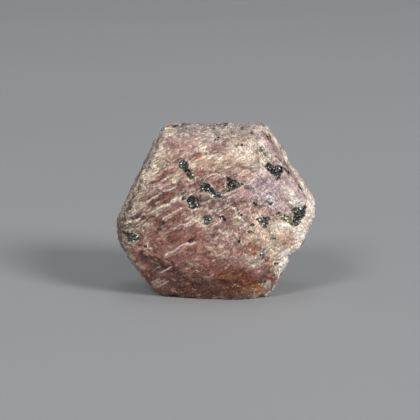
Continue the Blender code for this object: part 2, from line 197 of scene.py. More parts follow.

# A patch of colour on the side that the photograph shows: the mineral or painted light, the middle in
# the photograph's pixels, half its length, half its breadth, the turn of its length and how much of it
# shows.
# Later ones lie over earlier ones.
Patch = namedtuple("Patch", "mineral px py long broad turn amount")
PATCHES = rows_of(
    Patch,
    ("grey", 215, 131, 56, 13, 0, 0.75), ("pink", 205, 205, 70, 50, 26, 0.45),
    ("mauve", 205, 205, 40, 26, 20, 0.35), ("brick", 172, 234, 34, 15, 22, 0.85),
    ("salmon", 198, 240, 22, 12, 20, 0.75), ("brick", 176, 214, 22, 7, 26, 0.7),
    # The umber patch at (165, 284) is partly the stone's own colour, partly painted shade of the
    # lower-left face that looks down.
    ("brick", 166, 281, 50, 24, -26, 0.85), ("umber", 165, 284, 44, 18, -26, 0.4),
    ("salmon", 138, 262, 14, 6, -55, 0.7), ("peach", 141, 266, 4, 2, 0, 0.8),
    ("cream", 130, 257, 6, 3, -50, 0.8), ("brick", 196, 262, 36, 13, -8, 0.8),
    # The umber patches at (205, 289) and (236, 295) are painted shade along the bottom.
    ("umber", 205, 289, 34, 10, -4, 0.8), ("umber", 236, 295, 14, 4, 0, 0.85),
    ("mauve", 184, 262, 13, 7, 20, 0.45), ("umber", 164, 262, 24, 5, -28, 0.45),
    ("peach", 190, 276, 12, 3, -28, 0.35), ("lilac", 268, 190, 32, 17, -35, 0.9),
    ("lilac", 288, 172, 30, 9, -57, 0.85), ("mauve", 232, 201, 20, 9, 8, 0.85),
    ("mauve", 222, 236, 16, 10, 0, 0.65), ("mauve", 178, 142, 14, 5, 0, 0.45),
    ("peach", 180, 151, 12, 4, 10, 0.5), ("peach", 222, 160, 10, 4, 0, 0.6),
    ("cream", 149, 177, 30, 6, 62, 0.8), ("cream", 158, 150, 14, 5, 62, 0.55),
    ("olive", 158, 168, 14, 5, 60, 0.35), ("cream", 168, 131, 8, 5, 10, 0.95),
    ("cream", 165, 152, 10, 6, 0, 0.3), ("peach", 205, 162, 34, 10, 6, 0.75),
    # The cream and white at (242, 153) and (243, 154) are partly the crust's own colour, partly painted
    # highlight.
    ("white", 203, 150, 8, 4, 0, 0.75), ("cream", 242, 153, 17, 9, -8, 0.95),
    ("white", 243, 154, 10, 6, -8, 0.6), ("white", 213, 157, 8, 3, 0, 0.6),
    ("white", 262, 148, 8, 9, 0, 0.8), ("white", 251, 144, 8, 4, 0, 0.7),
    ("white", 261, 131, 6, 3, 0, 0.7), ("peach", 245, 172, 14, 6, -20, 0.65),
    ("brick", 194, 157, 8, 4.2, 20, 0.98), ("brick", 213, 151, 6, 4.6, -20, 0.9),
    ("salmon", 203, 173, 9, 4, 5, 0.75), ("salmon", 215, 184, 9, 8, -10, 0.75),
    ("olive", 163, 162, 14, 8, 40, 0.25), ("brick", 150, 184, 10, 2.2, 28, 0.6),
    ("brick", 168, 172, 9, 2, 26, 0.8), ("brick", 167, 197, 19, 5.5, 27, 0.92),
    ("umber", 156, 201, 10, 3.5, 27, 0.75), ("cream", 157, 213, 7, 3, 26, 0.5),
    ("olive", 130, 222, 14, 12, 60, 0.65), ("cream", 127, 211, 7, 9, 60, 0.7),
    ("olive", 141, 228, 14, 5, 20, 0.45), ("umber", 139, 218, 7, 3, 0, 0.8),
    ("umber", 128, 239, 7, 4, 30, 0.6), ("umber", 141, 247, 8, 3, 10, 0.7),
    ("cream", 139, 205, 7, 5, 40, 0.9), ("olive", 208, 201, 7, 3, 10, 0.75),
    ("umber", 209, 205, 8, 7, 10, 0.4), ("umber", 161, 226, 7, 5, 26, 0.75),
    ("brick", 186, 255, 15, 8, 20, 0.55), ("peach", 196, 215, 12, 5, 20, 0.3),
    ("cream", 240, 221, 10, 7, -30, 0.85), ("brick", 229, 213, 7, 4, -10, 0.85),
    ("peach", 262, 235, 22, 14, -10, 0.8), ("cream", 258, 236, 12, 6, 60, 0.5),
    ("cream", 288, 234, 22, 14, 52, 0.95), ("cream", 276, 250, 16, 10, 20, 0.9),
    # The near-white glare patches at (304, 223), (284, 265), (311, 208), (300, 204), (305, 226) and
    # (285, 270) are painted highlight over the pale crust.
    ("peach", 287, 238, 12, 9, 10, 0.9), ("painted_highlight", 304, 223, 20, 9, 66, 1),
    ("white", 288, 225, 12, 4, -8, 0.85), ("painted_highlight", 284, 265, 7, 14, -12, 1),
    ("cream", 276, 229, 14, 5, -8, 0.7), ("salmon", 250, 248, 9, 7, 0, 0.95),
    ("salmon", 269, 263, 4.5, 6, 0, 0.95), ("cream", 255, 262, 11, 5, -8, 0.8),
    ("brick", 237, 250, 7, 5, 0, 0.75), ("brick", 255, 272, 9, 4, -15, 0.9),
    ("peach", 218, 252, 12, 4, -20, 0.4), ("rust", 238, 279, 28, 13, -16, 0.95),
    ("rust", 232, 281, 20, 7, -12, 0.6), ("rust", 236, 272, 20, 6, -14, 0.5),
    ("rust", 246, 284, 16, 7, -10, 0.9), ("gold", 228, 278, 8, 3, -10, 0.6),
    ("gold", 252, 289, 9, 3, -12, 0.7), ("umber", 241, 284, 12, 4, -14, 0.45),
    ("gold", 262, 287, 8, 6, 0, 0.8), ("brick", 272, 279, 6, 5, -20, 0.8),
    ("white", 267, 284, 3, 5, 0, 0.95), ("painted_highlight", 311, 208, 5, 14, 5, 0.85),
    ("white", 256, 167, 11, 3.4, -20, 0.85), ("white", 265, 161, 5, 4, -50, 0.85),
    # The white patches at (288, 190), (298, 204) and (293, 205) are painted highlight on the glossy
    # facet.
    ("white", 288, 190, 10, 3.4, -50, 0.75), ("mauve", 262, 181, 6, 3, -40, 0.6),
    ("white", 298, 204, 7, 4, -50, 0.7), ("mauve", 283, 199, 7, 4, -40, 0.6),
    ("white", 293, 205, 6, 3, -40, 0.9), ("painted_highlight", 300, 204, 6, 3, -50, 0.9),
    ("white", 238, 179, 4, 3, 0, 0.9), ("white", 269, 158, 5, 4, -50, 0.7),
    ("white", 296, 177, 7, 3, -57, 0.6), ("umber", 210, 212, 7, 4, 10, 0.5),
    ("umber", 187, 195, 14, 3.5, -5, 0.5), ("mauve", 194, 138, 9, 4, 0, 0.7),
    ("olive", 178, 167, 4, 5, 0, 0.9), ("olive", 174, 179, 7, 4, 27, 0.6),
    ("umber", 146, 219, 5, 3, 0, 0.7), ("umber", 130, 241, 7, 4, 10, 0.85),
    ("brick", 199, 248, 8, 3, 0, 0.7), ("peach", 157, 284, 6, 4, 26, 0.7),
    ("umber", 160, 246, 12, 3, 15, 0.35), ("umber", 145, 247, 6, 5, 0, 0.55),
    ("peach", 192, 264, 6, 4, 10, 0.6), ("peach", 162, 273, 6, 2.4, 26, 0.6),
    ("umber", 195, 243, 5, 2.5, 0, 0.4), ("umber", 183, 272, 7, 3, -28, 0.6),
    ("umber", 148, 274, 7, 4, -40, 0.5), ("umber", 157, 262, 13, 4, -28, 0.5),
    ("umber", 198, 279, 7, 4, -28, 0.6), ("cream", 258, 258, 5, 3, 0, 0.7),
    ("umber", 208, 223, 4, 3, 0, 0.7), ("cream", 194, 223, 6, 2.5, 26, 0.6),
    ("cream", 222, 164, 7, 3, 0, 0.8), ("olive", 156, 167, 5, 5, 60, 0.4),
    ("olive", 144, 173, 7, 4, 62, 0.55), ("umber", 200, 192, 5, 3, 0, 0.5),
    ("rust", 205, 290, 36, 8, -4, 0.3), ("olive", 183, 196, 6, 3, 10, 0.8),
    ("umber", 184, 196, 6, 3, 10, 0.55), ("mauve", 245, 228, 5, 4, 0, 0.8),
    ("painted_highlight", 305, 226, 14, 7, 66, 1), ("painted_highlight", 285, 270, 5, 7, -30, 1),
    ("mauve", 299, 188, 4, 3, -50, 0.6), ("cream", 243, 142, 7, 3, 0, 0.6),
    ("umber", 211, 212, 7, 3, -20, 0.45), ("brick", 225, 236, 6, 3, 10, 0.50),
    ("painted_highlight", 305, 226, 5, 8, -15, 0.55),
)

# Areas of the side that the photograph shows where the stone is smoother and plainer: middle, half
# sizes and turn in pixels, and how smooth.
Calm = namedtuple("Calm", "px py long broad turn amount")
CALM = rows_of(
    Calm,
    (186, 244, 36, 17, 18, 0.8), (225, 276, 44, 18, -8, 0.97), (156, 272, 38, 20, -28, 0.88),
    (200, 292, 40, 10, 0, 0.95), (170, 215, 24, 13, 26, 0.55), (203, 168, 18, 7, 0, 0.5),
    (250, 248, 9, 7, 0, 0.6), (288, 236, 24, 13, 54, 0.55), (283, 264, 7, 13, -12, 0.45),
    (262, 236, 16, 12, 0, 0.25), (276, 190, 30, 16, -40, 0.5), (305, 226, 15, 6, 66, 0.75),
    (253, 190, 16, 10, 20, 0.35), (160, 200, 20, 6, 27, 0.4), (245, 158, 20, 10, -10, 0.5),
    (290, 166, 34, 6, -57, 0.2),
)

RUDDY_SMOOTHNESS = 0.6  # how much smoother than the pale crusts the red stone is

# Crests along the broken rims of the parting plates: half the breadth in millimetres, then the
# course in the photograph's pixels.
CRESTS = (
    (0.1, (147, 204), (152, 199), (158, 195.5), (163, 192), (168, 190), (174, 188), (176, 184)),
    (0.13, (151, 213), (156, 210), (160, 207.5), (163, 205.5), (170, 203.5), (172, 200.5), (177, 197.5)),
    (0.09, (163, 219), (168, 216), (172, 214), (177, 210.5), (182, 208)),
    (0.11, (171, 229), (176, 227.5), (180, 224.5), (186, 225), (189, 223), (191, 220.5), (195, 219)),
    (0.11, (195, 219), (198, 221), (202, 225), (206, 229)),
    (0.12, (165, 256), (168, 253.5), (172, 252), (176, 250), (179, 247), (183, 244.5), (187, 243)),
    (0.11, (187, 243), (190, 244.5), (194, 243), (197, 241)),
    (0.07, (153, 271), (156, 269), (160, 266.5)), (0.07, (161, 273), (164, 271), (168, 269), (171, 267)),
    (0.06, (152, 282), (154, 280.5), (160, 278.5)),
    (0.06, (154, 284), (158, 287), (163, 284), (168, 281.5)),
    (0.08, (145, 249), (148, 248.3), (152, 248.5)), (0.1, (142, 226.5), (147, 224.5)),
    (0.12, (223, 196), (228, 193), (233, 191), (237, 189), (242, 187)),
    (0.09, (203, 181), (207, 177.5), (212, 174.8), (217, 174), (221, 176)),
    (0.08, (204, 181.5), (209, 183), (213, 187), (215, 191)),
    (0.07, (216, 214.5), (219, 212.5), (222, 211), (225, 208), (229, 206), (233, 208), (236, 211)),
    (0.07, (236, 211), (240, 217), (243, 221), (247, 224)), (0.08, (207, 246), (210, 247), (213, 249)),
    (0.08, (184, 178.5), (188, 180.5), (193, 182)), (0.08, (189, 209), (192, 210.5), (197, 208.5)),
)

CREST_STEP = 1.1  # pixels between the sections of a crest
CREST_PX = 0.24  # half the breadth of a crest, in millimetres, whose pale line is a pixel to each side
CREST_ROOT = 0.10 * MM

GRAIN_STRETCH = 1.35  # how many times its own reach a grain may span on a slanting face
PAINTED_GLINT_SHARE = 0.36
SMALL_GRAIN = 4.0  # pixels: the crystals of narrower grains lie at the close spacing
CLOSE_SPACING = 1.0
WIDE_SPACING = 1.35
BED_MARGIN = 5.0
CHIP_POINTS = 9
PAINTED_GLINT_POINTS = 7
OVAL_CORNERS = 9
FAR_OFF = 1e9

# Oval dark grains by their look: middle, half the length and half the breadth in the photograph's
# pixels, and the turn of the length.
Oval = namedtuple("Oval", "px py long broad turn")
OVAL_GRAINS = {
    "green": (
        (184, 198, 2.6, 1.5, 40), (250.5, 232, 1.8, 1.2, 0), (146, 246, 1.8, 1.2, 0),
        (142.8, 169, 2.6, 0.8, 64), (125.3, 205, 2.6, 0.8, 62),
    ),
    "black": (
        (223.5, 218.5, 3.4, 1.7, -35), (271, 203.7, 1.9, 1.5, 0), (125, 233, 3.6, 0.9, -35),
        (190.5, 241, 3.2, 1.1, 10), (240.5, 214.5, 2.8, 1, -15), (276, 263, 2.2, 1, 0),
        (262, 281.5, 3.6, 1, 20), (216.8, 139.5, 3, 1, 35), (252, 134.5, 2, 0.7, 10),
        (242, 145.4, 1.4, 0.8, 0), (300.5, 187.5, 3.8, 1.4, -65), (280.3, 148.5, 2.6, 1.2, -60),
        (255.5, 204, 2.4, 1.1, -45), (252.5, 225, 1.8, 1, 0), (239, 241.5, 1.3, 1.6, 0),
        (268.5, 137.5, 3.4, 1.1, -50), (274.8, 156.5, 1.2, 0.8, -40), (278, 213.5, 2.6, 1, 20),
        (242, 184, 1.3, 0.7, 20), (174, 126.3, 4.5, 0.7, 12), (186, 124.6, 4.5, 0.8, 4),
        (225, 125.4, 4.5, 0.8, 6), (191.5, 131.2, 1.5, 0.5, 0), (214, 129, 2.2, 0.6, 30),
        (242, 129, 1.2, 0.6, 0), (290, 255, 1.5, 1, 0), (206, 153, 1.2, 0.7, 0),
        (167, 165, 1.2, 0.8, 0), (157.4, 140, 1.8, 0.9, 56), (152.4, 153, 2, 1, 68),
        (145.4, 168, 2.2, 1, 64), (138.8, 181, 1.6, 0.9, 62), (132.4, 194, 2, 1, 62),
    ),
    # The white grain is partly a pale crystal, partly a painted reflection of a shiny flake.
    "white": (
        (270.5, 198.6, 4.6, 2.8, -25),
    ),
    "grey": (
        (267.5, 201.5, 1.6, 1.2, 0), (238, 185, 1.8, 1.8, 0),
    ),
    "mixed": (
        (273, 238.5, 3, 1.4, 10), (261.5, 256, 1.9, 2.8, 0), (272.5, 289, 2.2, 3.6, 0),
    ),
    "olive": (
        (237, 145.5, 2.6, 1.4, 0), (261.5, 149, 3, 1, -60), (264.5, 154, 2.2, 0.9, -60),
    ),
}

# Dark grains with an outline of their own, in the photograph's pixels, by their look.
Shard = namedtuple("Shard", "look outline")
SHARD_GRAINS = {
    "black": (
        ((179, 163), (182, 160.5), (187, 161.5), (188.3, 165), (187.5, 168), (183, 169), (180, 168)),
        ((185, 172), (189.5, 170.5), (192.5, 173.5), (194, 177), (190.5, 177.5), (186.5, 175.5)),
        ((200.5, 187), (206, 183.8), (211, 185.5), (214, 190), (217, 193.5), (214, 195.5), (208, 193.2),
         (201, 191.5)),
        ((281.5, 166.5), (285, 167.5), (288, 170.5), (290.5, 175.5), (288.8, 175), (286.5, 171.5),
         (283.5, 169)),
        ((226.3, 176.8), (230, 178.5), (236.3, 181.2), (237, 186.5), (233, 190.5), (229, 189.5),
         (226.5, 184)),
        ((187, 200), (190, 196.2), (194.5, 197), (197.5, 200.5), (199, 206), (194, 209), (189.5, 208),
         (187.5, 204)),
        ((197.5, 203.5), (200.8, 205.5), (199.5, 208), (197, 207.5)),
        ((204, 221), (209, 221), (210, 223), (207, 225.2), (204.5, 223.5)),
        ((265.5, 166.5), (268, 162.3), (271.5, 163.5), (273.5, 165.6), (278, 165), (281.5, 167.5),
         (282.3, 171.5), (281, 175.5), (280, 179.4), (277, 179.8), (276.3, 176), (272, 174.5),
         (268, 171.5), (268, 168.5)),
        ((292, 211), (296, 208.4), (299.5, 208), (302.5, 208.2), (304.5, 206), (306, 206.4),
         (306.3, 210.5), (304.6, 216), (302.6, 220.4), (299, 225), (296, 226.4), (293.6, 224.6),
         (295, 219), (295.4, 215)),
        ((131, 238), (135.5, 237.5), (134.5, 241.5), (131.5, 241.4)),
    ),
    "green": (
        ((183, 169), (187.5, 168), (189.5, 171), (187, 173), (184.5, 172)),
        ((212, 195), (215, 192.5), (218, 192.8), (223, 194.5), (220, 198.5), (215, 198)),
        ((203.5, 217), (206.5, 215.2), (210.5, 216.8), (212, 219.5), (209.5, 221.5), (204.5, 221)),
        ((271, 167.6), (274, 167.2), (276.5, 168.6), (273.5, 170)),
        ((288, 221.5), (292.8, 221.5), (295, 225.2), (291, 224.6)),
    ),
    "yellow": (
        ((187, 176), (190.5, 177.2), (194.5, 177), (194, 179.3), (190, 179)),
        ((226.6, 186), (229, 189.5), (232, 191), (227.5, 191)),
        ((279.5, 214.5), (285, 215), (290, 216.5), (292.8, 218), (293.5, 223), (290, 223.5), (285, 221),
         (281, 219)),
    ),
    "grey": (
        ((199.5, 184.5), (204, 183.4), (208, 184.4), (203, 187), (200.5, 187)),
        ((236, 181.5), (240, 184), (239.5, 187.5), (236, 188.5), (235.5, 185)),
    ),
    "mixed": (
        ((256, 218.5), (263, 217), (270.5, 217.5), (268.5, 221.5), (266.5, 227), (264, 228.5),
         (260, 224)),
        ((125.5, 234.5), (131, 233.5), (136.5, 235), (138.8, 239), (134, 242.6), (128.5, 241.5),
         (126, 238.5)),
    ),
}

# Colours of the dark grains' crystals, and of the small pale chips laid on them as painted glints. The
# white grain's colour is partly painted reflection of a shiny flake.
LOOKS = {
    "black": (13, 14, 13),
    "green": (46, 52, 40),
    "yellow": (118, 118, 58),
    "olive": (112, 108, 84),
    "grey": (106, 104, 100),
    "white": (216, 212, 206),
    "mixed": (62, 64, 52),
    "painted_glint": (226, 228, 220),
    "rusty": (52, 30, 20),
}
# What the small crystals in each kind of grain look like, painted glints among them.
MIXES = {
    "black": ("black",) * 12 + ("green", "rusty", "grey", "painted_glint"),
    "green": ("green",) * 5 + ("black", "black", "olive", "painted_glint"),
    "yellow": ("yellow", "yellow", "yellow", "olive", "green", "black", "painted_glint"),
    "olive": ("olive", "olive", "grey"),
    "grey": ("grey", "black", "olive"),
    "white": ("white", "white", "painted_glint", "grey"),
    "mixed": ("black", "black", "green", "green", "olive", "grey", "painted_glint"),
}

# Bands of colour by mineral or painted light: half the breadth in pixels, how much shows, then the
# course in pixels.
# Later ones lie over earlier ones.
Band = namedtuple("Band", "mineral half amount course")
BANDS = {
    "black": (
        (1.1, 0.95, (160.5, 135.5), (156.4, 143), (153.4, 150), (151.8, 156)),
        (1.1, 0.95, (149.5, 158), (146.4, 164), (143.6, 170)),
        (1.1, 0.95, (141.4, 175), (138.2, 181), (135.4, 187)),
        (1.1, 0.9, (132.8, 192), (130.2, 197), (127.4, 203)),
        (1.3, 0.7, (168, 126.5), (178, 124.5), (190, 123.8), (204, 123.3), (220, 124.6), (229, 124.8)),
        (0.5, 0.85, (272, 146), (276, 152), (279, 159), (282, 166)),
        # The black band at (133, 218.5) is painted shade in a small pit.
        (1.5, 0.8, (133, 218.5), (136, 217.5), (140, 219)),
    ),
    "umber": (
        (0.6, 0.9, (265, 133), (268, 137), (272, 144), (275, 150)),
        (0.5, 0.8, (281, 160), (288, 170), (296, 181), (302, 190)),
        (0.5, 0.8, (304, 192), (309, 199), (312, 206)), (0.7, 0.6, (143, 198), (150, 197), (158, 195)),
        # The broad umber bands from (142, 253) to (198, 285) are partly a dark streak in the stone,
        # partly painted shade under the ridge of the lower-left face.
        (1, 0.8, (188, 241), (193, 240.5)), (2.8, 0.95, (142, 253), (156, 260), (164, 265), (171, 270)),
        (1.8, 0.85, (168, 268), (178, 273), (186, 278), (198, 285)),
        (0.9, 0.7, (176, 281), (186, 285), (196, 290)),
        (0.9, 0.5, (150, 270), (160, 275), (170, 281), (182, 289)),
        (1, 0.6, (146, 185), (153, 182), (160, 177.5), (166, 174.5)),
        (1, 0.75, (150, 202.5), (158, 198), (166, 194.5), (174, 191)),
        (0.8, 0.6, (153, 207.5), (160, 204), (168, 200), (173, 196)),
        (0.9, 0.55, (160, 224), (168, 220), (176, 216), (183, 212)),
        (0.9, 0.5, (161, 254), (168, 251), (177, 246), (186, 241)),
        (0.8, 0.55, (197, 178), (203, 174), (211, 172), (220, 173)),
        (0.8, 0.5, (189, 187), (197, 183), (206, 181.5)),
        (0.8, 0.55, (219, 211.5), (223, 209), (226, 206.5)),
        (0.9, 0.6, (236, 208), (241, 215), (246, 222)), (0.9, 0.45, (243, 178), (252, 172), (261, 168)),
        (0.8, 0.5, (244, 246), (252, 242), (262, 239)),
        # The umber band at (132, 217.5) is painted shade in the same pit.
        (2, 0.85, (132, 217.5), (139, 217), (148, 219.5)),
    ),
    "brick": (
        (1.6, 0.7, (143, 188), (152, 183.5), (158, 180), (168, 174), (176, 169)),
        (1.4, 0.6, (185, 159), (194, 158.5), (203, 160)), (1.2, 0.6, (207, 149), (212, 151), (216, 150)),
    ),
    "gold": (
        (1.2, 0.5, (216, 277), (226, 279), (236, 277)),
    ),
    "mauve": (
        (1, 0.8, (262, 131), (268, 138), (277, 152), (290, 171), (300, 186), (309, 200)),
        (0.8, 0.8, (272, 135), (280, 149), (292, 168), (302, 183)),
    ),
    "lilac": (
        (1.8, 0.6, (259, 134), (265, 142), (274, 157), (287, 176), (298, 192), (304, 202)),
    ),
    "peach": (
        (1.4, 0.8, (137, 264), (141, 267), (145, 268)),
    ),
    "cream": (
        (1.1, 0.7, (159, 135.5), (154.5, 144), (151.5, 153), (145.5, 167), (135.5, 188), (129.5, 199)),
        (2.4, 0.7, (267, 128), (272, 135), (281, 148), (294, 168), (305, 184), (314.5, 199)),
        (0.7, 0.85, (268, 132), (274, 140), (281, 152), (288, 163)),
        (0.7, 0.8, (276, 158), (284, 170), (292, 182), (299, 193)),
        (1, 0.55, (242, 187), (250, 182), (258, 176), (264, 171)), (1.2, 0.8, (130, 256), (134, 259)),
    ),
    "white": (
        (0.9, 0.95, (284, 156), (296, 176), (304, 188), (311, 200)),
        (0.8, 0.85, (300, 186), (307, 196), (313, 207)),
        # This white band is a painted highlight along the glossy facet.
        (0.7, 0.8, (284, 182), (290, 190), (297, 199), (303, 206)),
        (3, 0.8, (312, 212), (309, 224), (303, 237), (297, 247), (290, 252)),
        (2.4, 0.8, (288, 257), (287, 264), (285, 271), (280, 278)),
    ),
    # A painted highlight streak on the glossy facet.
    "painted_highlight": (
        (2.6, 0.9, (291, 195), (296, 201), (302, 206)),
    ),
}

# Families of fine parting lines: middle, half sizes and turn of the area in pixels, the turn of the
# lines, and how many there are of each mineral.
Hatch = namedtuple("Hatch", "px py long broad turn lines counts")
HATCHES = rows_of(
    Hatch,
    (165, 200, 30, 15, 26, 27, {"cream": 16}), (165, 175, 30, 22, 40, 27, {"white": 44, "umber": 30}),
    (175, 215, 38, 22, 26, 27, {"umber": 40, "white": 36}),
    (215, 165, 40, 16, 0, 14, {"white": 40, "umber": 24}),
    (225, 215, 34, 26, 0, 24, {"white": 46, "umber": 40}), (225, 215, 34, 26, 0, -48, {"white": 30}),
    (215, 252, 40, 14, -8, -14, {"umber": 30}), (215, 252, 40, 14, -8, 24, {"peach": 20}),
    (262, 240, 24, 20, 0, 58, {"white": 34}), (262, 240, 24, 20, 0, -30, {"umber": 20}),
    (272, 190, 26, 16, -40, -40, {"white": 34}), (272, 190, 26, 16, -40, 30, {"mauve": 16}),
    (128, 226, 11, 20, 0, 40, {"white": 34}), (128, 226, 11, 20, 0, 20, {"umber": 30}),
    (175, 232, 34, 17, 24, 27, {"peach": 16}), (165, 178, 24, 9, 28, 28, {"cream": 10}),
    (158, 268, 36, 17, -28, -28, {"brick": 30, "salmon": 20}),
    (158, 272, 34, 15, -28, -28, {"umber": 26}), (150, 266, 26, 12, -40, -30, {"peach": 22}),
    (180, 288, 26, 9, -20, -26, {"peach": 14}), (214, 276, 40, 14, -8, -8, {"rust": 30}),
    (232, 283, 26, 9, -10, -10, {"gold": 10}), (247, 288, 14, 6, -14, -14, {"amber": 16}),
    (150, 172, 7, 30, -28, 62, {"white": 26}), (296, 228, 8, 20, -28, 62, {"white": 20, "peach": 12}),
    (210, 215, 22, 14, 0, 22, {"cream": 12}), (242, 205, 24, 10, 10, 24, {"cream": 12}),
    (225, 240, 20, 10, 0, -20, {"cream": 10}), (235, 225, 20, 12, 0, 60, {"cream": 10}),
    (216, 165, 30, 8, 0, 12, {"cream": 12}), (214, 134, 44, 8, 0, 3, {"cream": 26}),
    (214, 134, 44, 8, 0, 2, {"umber": 20}), (288, 168, 34, 6, -58, -57, {"cream": 26, "umber": 20}),
    (165, 282, 26, 9, -28, -27, {"umber": 12}), (205, 270, 22, 8, 10, 26, {"peach": 10}),
)

# Sugary crusts of small pale crystals, some along the rims as painted glints: middle and half sizes in
# pixels, turn and how many.
Crust = namedtuple("Crust", "px py long broad turn count")
CRUSTS = rows_of(
    Crust,
    (296, 232, 20, 5, 58, 130), (276, 250, 12, 8, 20, 36), (283, 266, 7, 12, -12, 110),
    (262, 236, 10, 10, 0, 30), (128, 214, 7, 12, -20, 70), (138, 229, 10, 4, 15, 30),
    (133, 247, 7, 2, -10, 14), (216, 250, 13, 5, -20, 26), (197, 268, 10, 4, 0, 10),
    # The thin crusts along the top edge at (232, 124.6) and (190, 124.2) and along the left rim at (155,
    # 149) and (139.5, 183) are pale crystals laid as painted glints.
    (232, 124.6, 28, 0.8, 0, 40), (190, 124.2, 20, 0.8, 2, 26), (242, 153, 15, 8, -8, 90),
    (204, 151, 8, 4, 0, 26), (168, 130, 6, 4, 10, 26), (155, 149, 18, 1, 64, 40),
    (139.5, 183, 20, 1, 62, 40), (127, 222, 7, 12, 0, 50), (160, 152, 6, 5, 0, 30),
    (311, 214, 3, 10, 5, 40), (236, 288, 10, 5, -10, 12), (250, 292, 12, 4, 0, 14),
    (267, 284, 3, 5, 0, 8),
)
CRUST_MIX = ("cream", "cream", "white", "white", "peach", "peach", "pink")

# Colours of the ruby's pale streaks and of its pale and dark specks, and the floor's two tones.
PALE_THREAD = (0.60, 0.42, 0.32, 1.0)
PALE_SPECK = (0.84, 0.72, 0.62, 1.0)
DARK_SPECK = (0.09, 0.04, 0.03, 1.0)
FLOOR_TONES = ((0.325, 0.330, 0.338, 1.0), (0.340, 0.345, 0.353, 1.0))

# Smooth noises, each a sum of layers: how much of a layer, its seed, and its grain in millimetres, one
# length or one for each axis. The lumps come out in millimetres, beds and warps in pixels.
NOISES = {
    "lump": ((0.42, 0, 9.0), (0.20, 0, 3.2)),
    "wander_x": ((1.0, 11, 1.4),),
    "wander_z": ((1.0, 23, 1.4),),
    "bed_x": ((0.7, 97, 1.1), (0.4, 101, 0.5)),
    "bed_y": ((0.7, 103, 1.1), (0.4, 107, 0.5)),
    "warp_x": ((3.2, 97, 1.5), (1.3, 101, 0.6)),
    "warp_y": ((3.2, 103, 1.5), (1.3, 107, 0.6)),
    "lamella": ((1.0, 3, (5.0, 5.0, 0.75)), (0.5, 7, (3.0, 4.0, 0.38))),
    "striation": ((1.0, 31, (7.0, 0.55, 7.0)),),
    "crumb": ((1.0, 41, 0.8), (0.6, 43, 0.4)),
    "chip": ((1.0, 53, 1.7),),
    "streak": ((1.0, 61, (6.0, 3.0, 0.8)), (0.6, 67, (3.0, 3.0, 0.4))),
    "ring": ((1.0, 71, (6.0, 0.7, 6.0)), (0.6, 73, (3.0, 0.35, 3.0))),
    "cloud": ((1.0, 79, 5.0),),
    "mottle": ((1.0, 83, 1.6), (0.5, 89, 0.7)),
    "speckle": ((1.0, 91, 0.5), (0.7, 93, 0.28)),
}

# Flat facets that meet at small angles: their size and slope, how they are stretched along the parting,
# along the crystal's axis and across the parting, and a seed.
Mosaic = namedtuple("Mosaic", "size slope stretch seed")
BROAD_FACETS = Mosaic(1.5 * MM, 0.13, (1.7, 1.3, 0.75), 3)
SMALL_FACETS = Mosaic(0.62 * MM, 0.24, (1.2, 1.0, 0.85), 5)
SKIN_AREA = 2100.0 * MM * MM

# Heights of the fine relief.
LAMELLA_RISE = 0.11 * MM
STRIATION_RISE = 0.09 * MM
CRUMB_RISE = 0.07 * MM
CHIP_DEPTH = 0.20 * MM
WANDER = 0.28 * MM  # how far the ledges and pits stray from their lines
STEP_WANDER = 0.20 * MM
TERRACES = 3.0  # levels of the stepped noises for each unit of height

# Seeds of the lines and of the small pieces.
LINE_SEED = 41
GRAIN_SEED = 5
CRUST_SEED = 17
RIM_SEED = 29

# Lights: place and power. All of them are soft discs that look at the crystal's middle.
LIGHTS = {
    "top_light": ((0.0, 0.10, 1.50), 2.0),
    "left_light": ((-0.75, -1.20, 1.30), 12.0),
    "right_light": ((1.15, -1.05, 1.05), 23.5),
    "back_light": ((-0.30, 1.50, 1.30), 12.0),
}
DISC = 0.60
CRYSTAL_MIDDLE = Vector((0.0, 0.0, 0.012))
AIR = (0.80, 0.82, 0.86, 1.0)
AIR_STRENGTH = 0.30

# The floor: half its width, its front edge, where it starts to curve up, the curve and its top.
FLOOR_HALF = 1.6
FLOOR_FRONT = -1.2
FLOOR_BEND = 0.9
FLOOR_CURVE = 0.4
FLOOR_TOP = 1.6
CURVE_STEPS = 12


def outward(face):
    """The unit vector that a crystal face looks along."""
    turn = math.radians(face.turn)
    lean = math.radians(face.lean)
    return np.array((math.cos(lean) * math.cos(turn), -math.sin(lean), math.cos(lean) * math.sin(turn)))


def face_planes():
    """The crystal faces as unit normals and distances from the middle of the axis."""
    normals = np.array([outward(face) for face in FACES.values()])
    turns = np.radians([face.turn for face in FACES.values()])
    reach = HALF_WIDTH * np.array([face.reach for face in FACES.values()])
    depth = HALF_THICK * np.array([face.depth for face in FACES.values()])
    through = np.column_stack((reach * np.cos(turns), depth, reach * np.sin(turns)))
    return normals, (normals * through).sum(axis=1)


def beyond_faces(points, normals, distances):
    """How far points lie outside the worn crystal, the outward normals, and how near an edge is."""
    past = (points @ normals.T - distances) / EDGE_SOFTNESS
    most = past.max(axis=1, keepdims=True)
    shares = np.exp(past - most)
    total = shares.sum(axis=1, keepdims=True)
    gradient = (shares / total) @ normals
    gradient /= np.linalg.norm(gradient, axis=1, keepdims=True)
    edge = 2.0 * (1.0 - 1.0 / total[:, 0])
    return (EDGE_SOFTNESS * (most + np.log(total)))[:, 0], gradient, np.clip(edge, 0.0, 1.0)


def onto_crystal(directions):
    """Where rays from the middle leave the worn crystal, its normals and nearness to an edge there."""
    normals, distances = face_planes()
    near = np.zeros(len(directions))
    far = np.full(len(directions), 2.0 * HALF_WIDTH)
    for _ in range(HALVINGS):
        middle = (near + far) / 2
        inside = beyond_faces(directions * middle[:, None], normals, distances)[0] < 0
        near = np.where(inside, middle, near)
        far = np.where(inside, far, middle)
    points = directions * near[:, None]
    return points, *beyond_faces(points, normals, distances)[1:]


def ease(low, high, values):
    """0 up to low, 1 from high, and a smooth rise between them."""
    share = np.clip((values - low) / (high - low), 0.0, 1.0)
    return share * share * (3.0 - 2.0 * share)


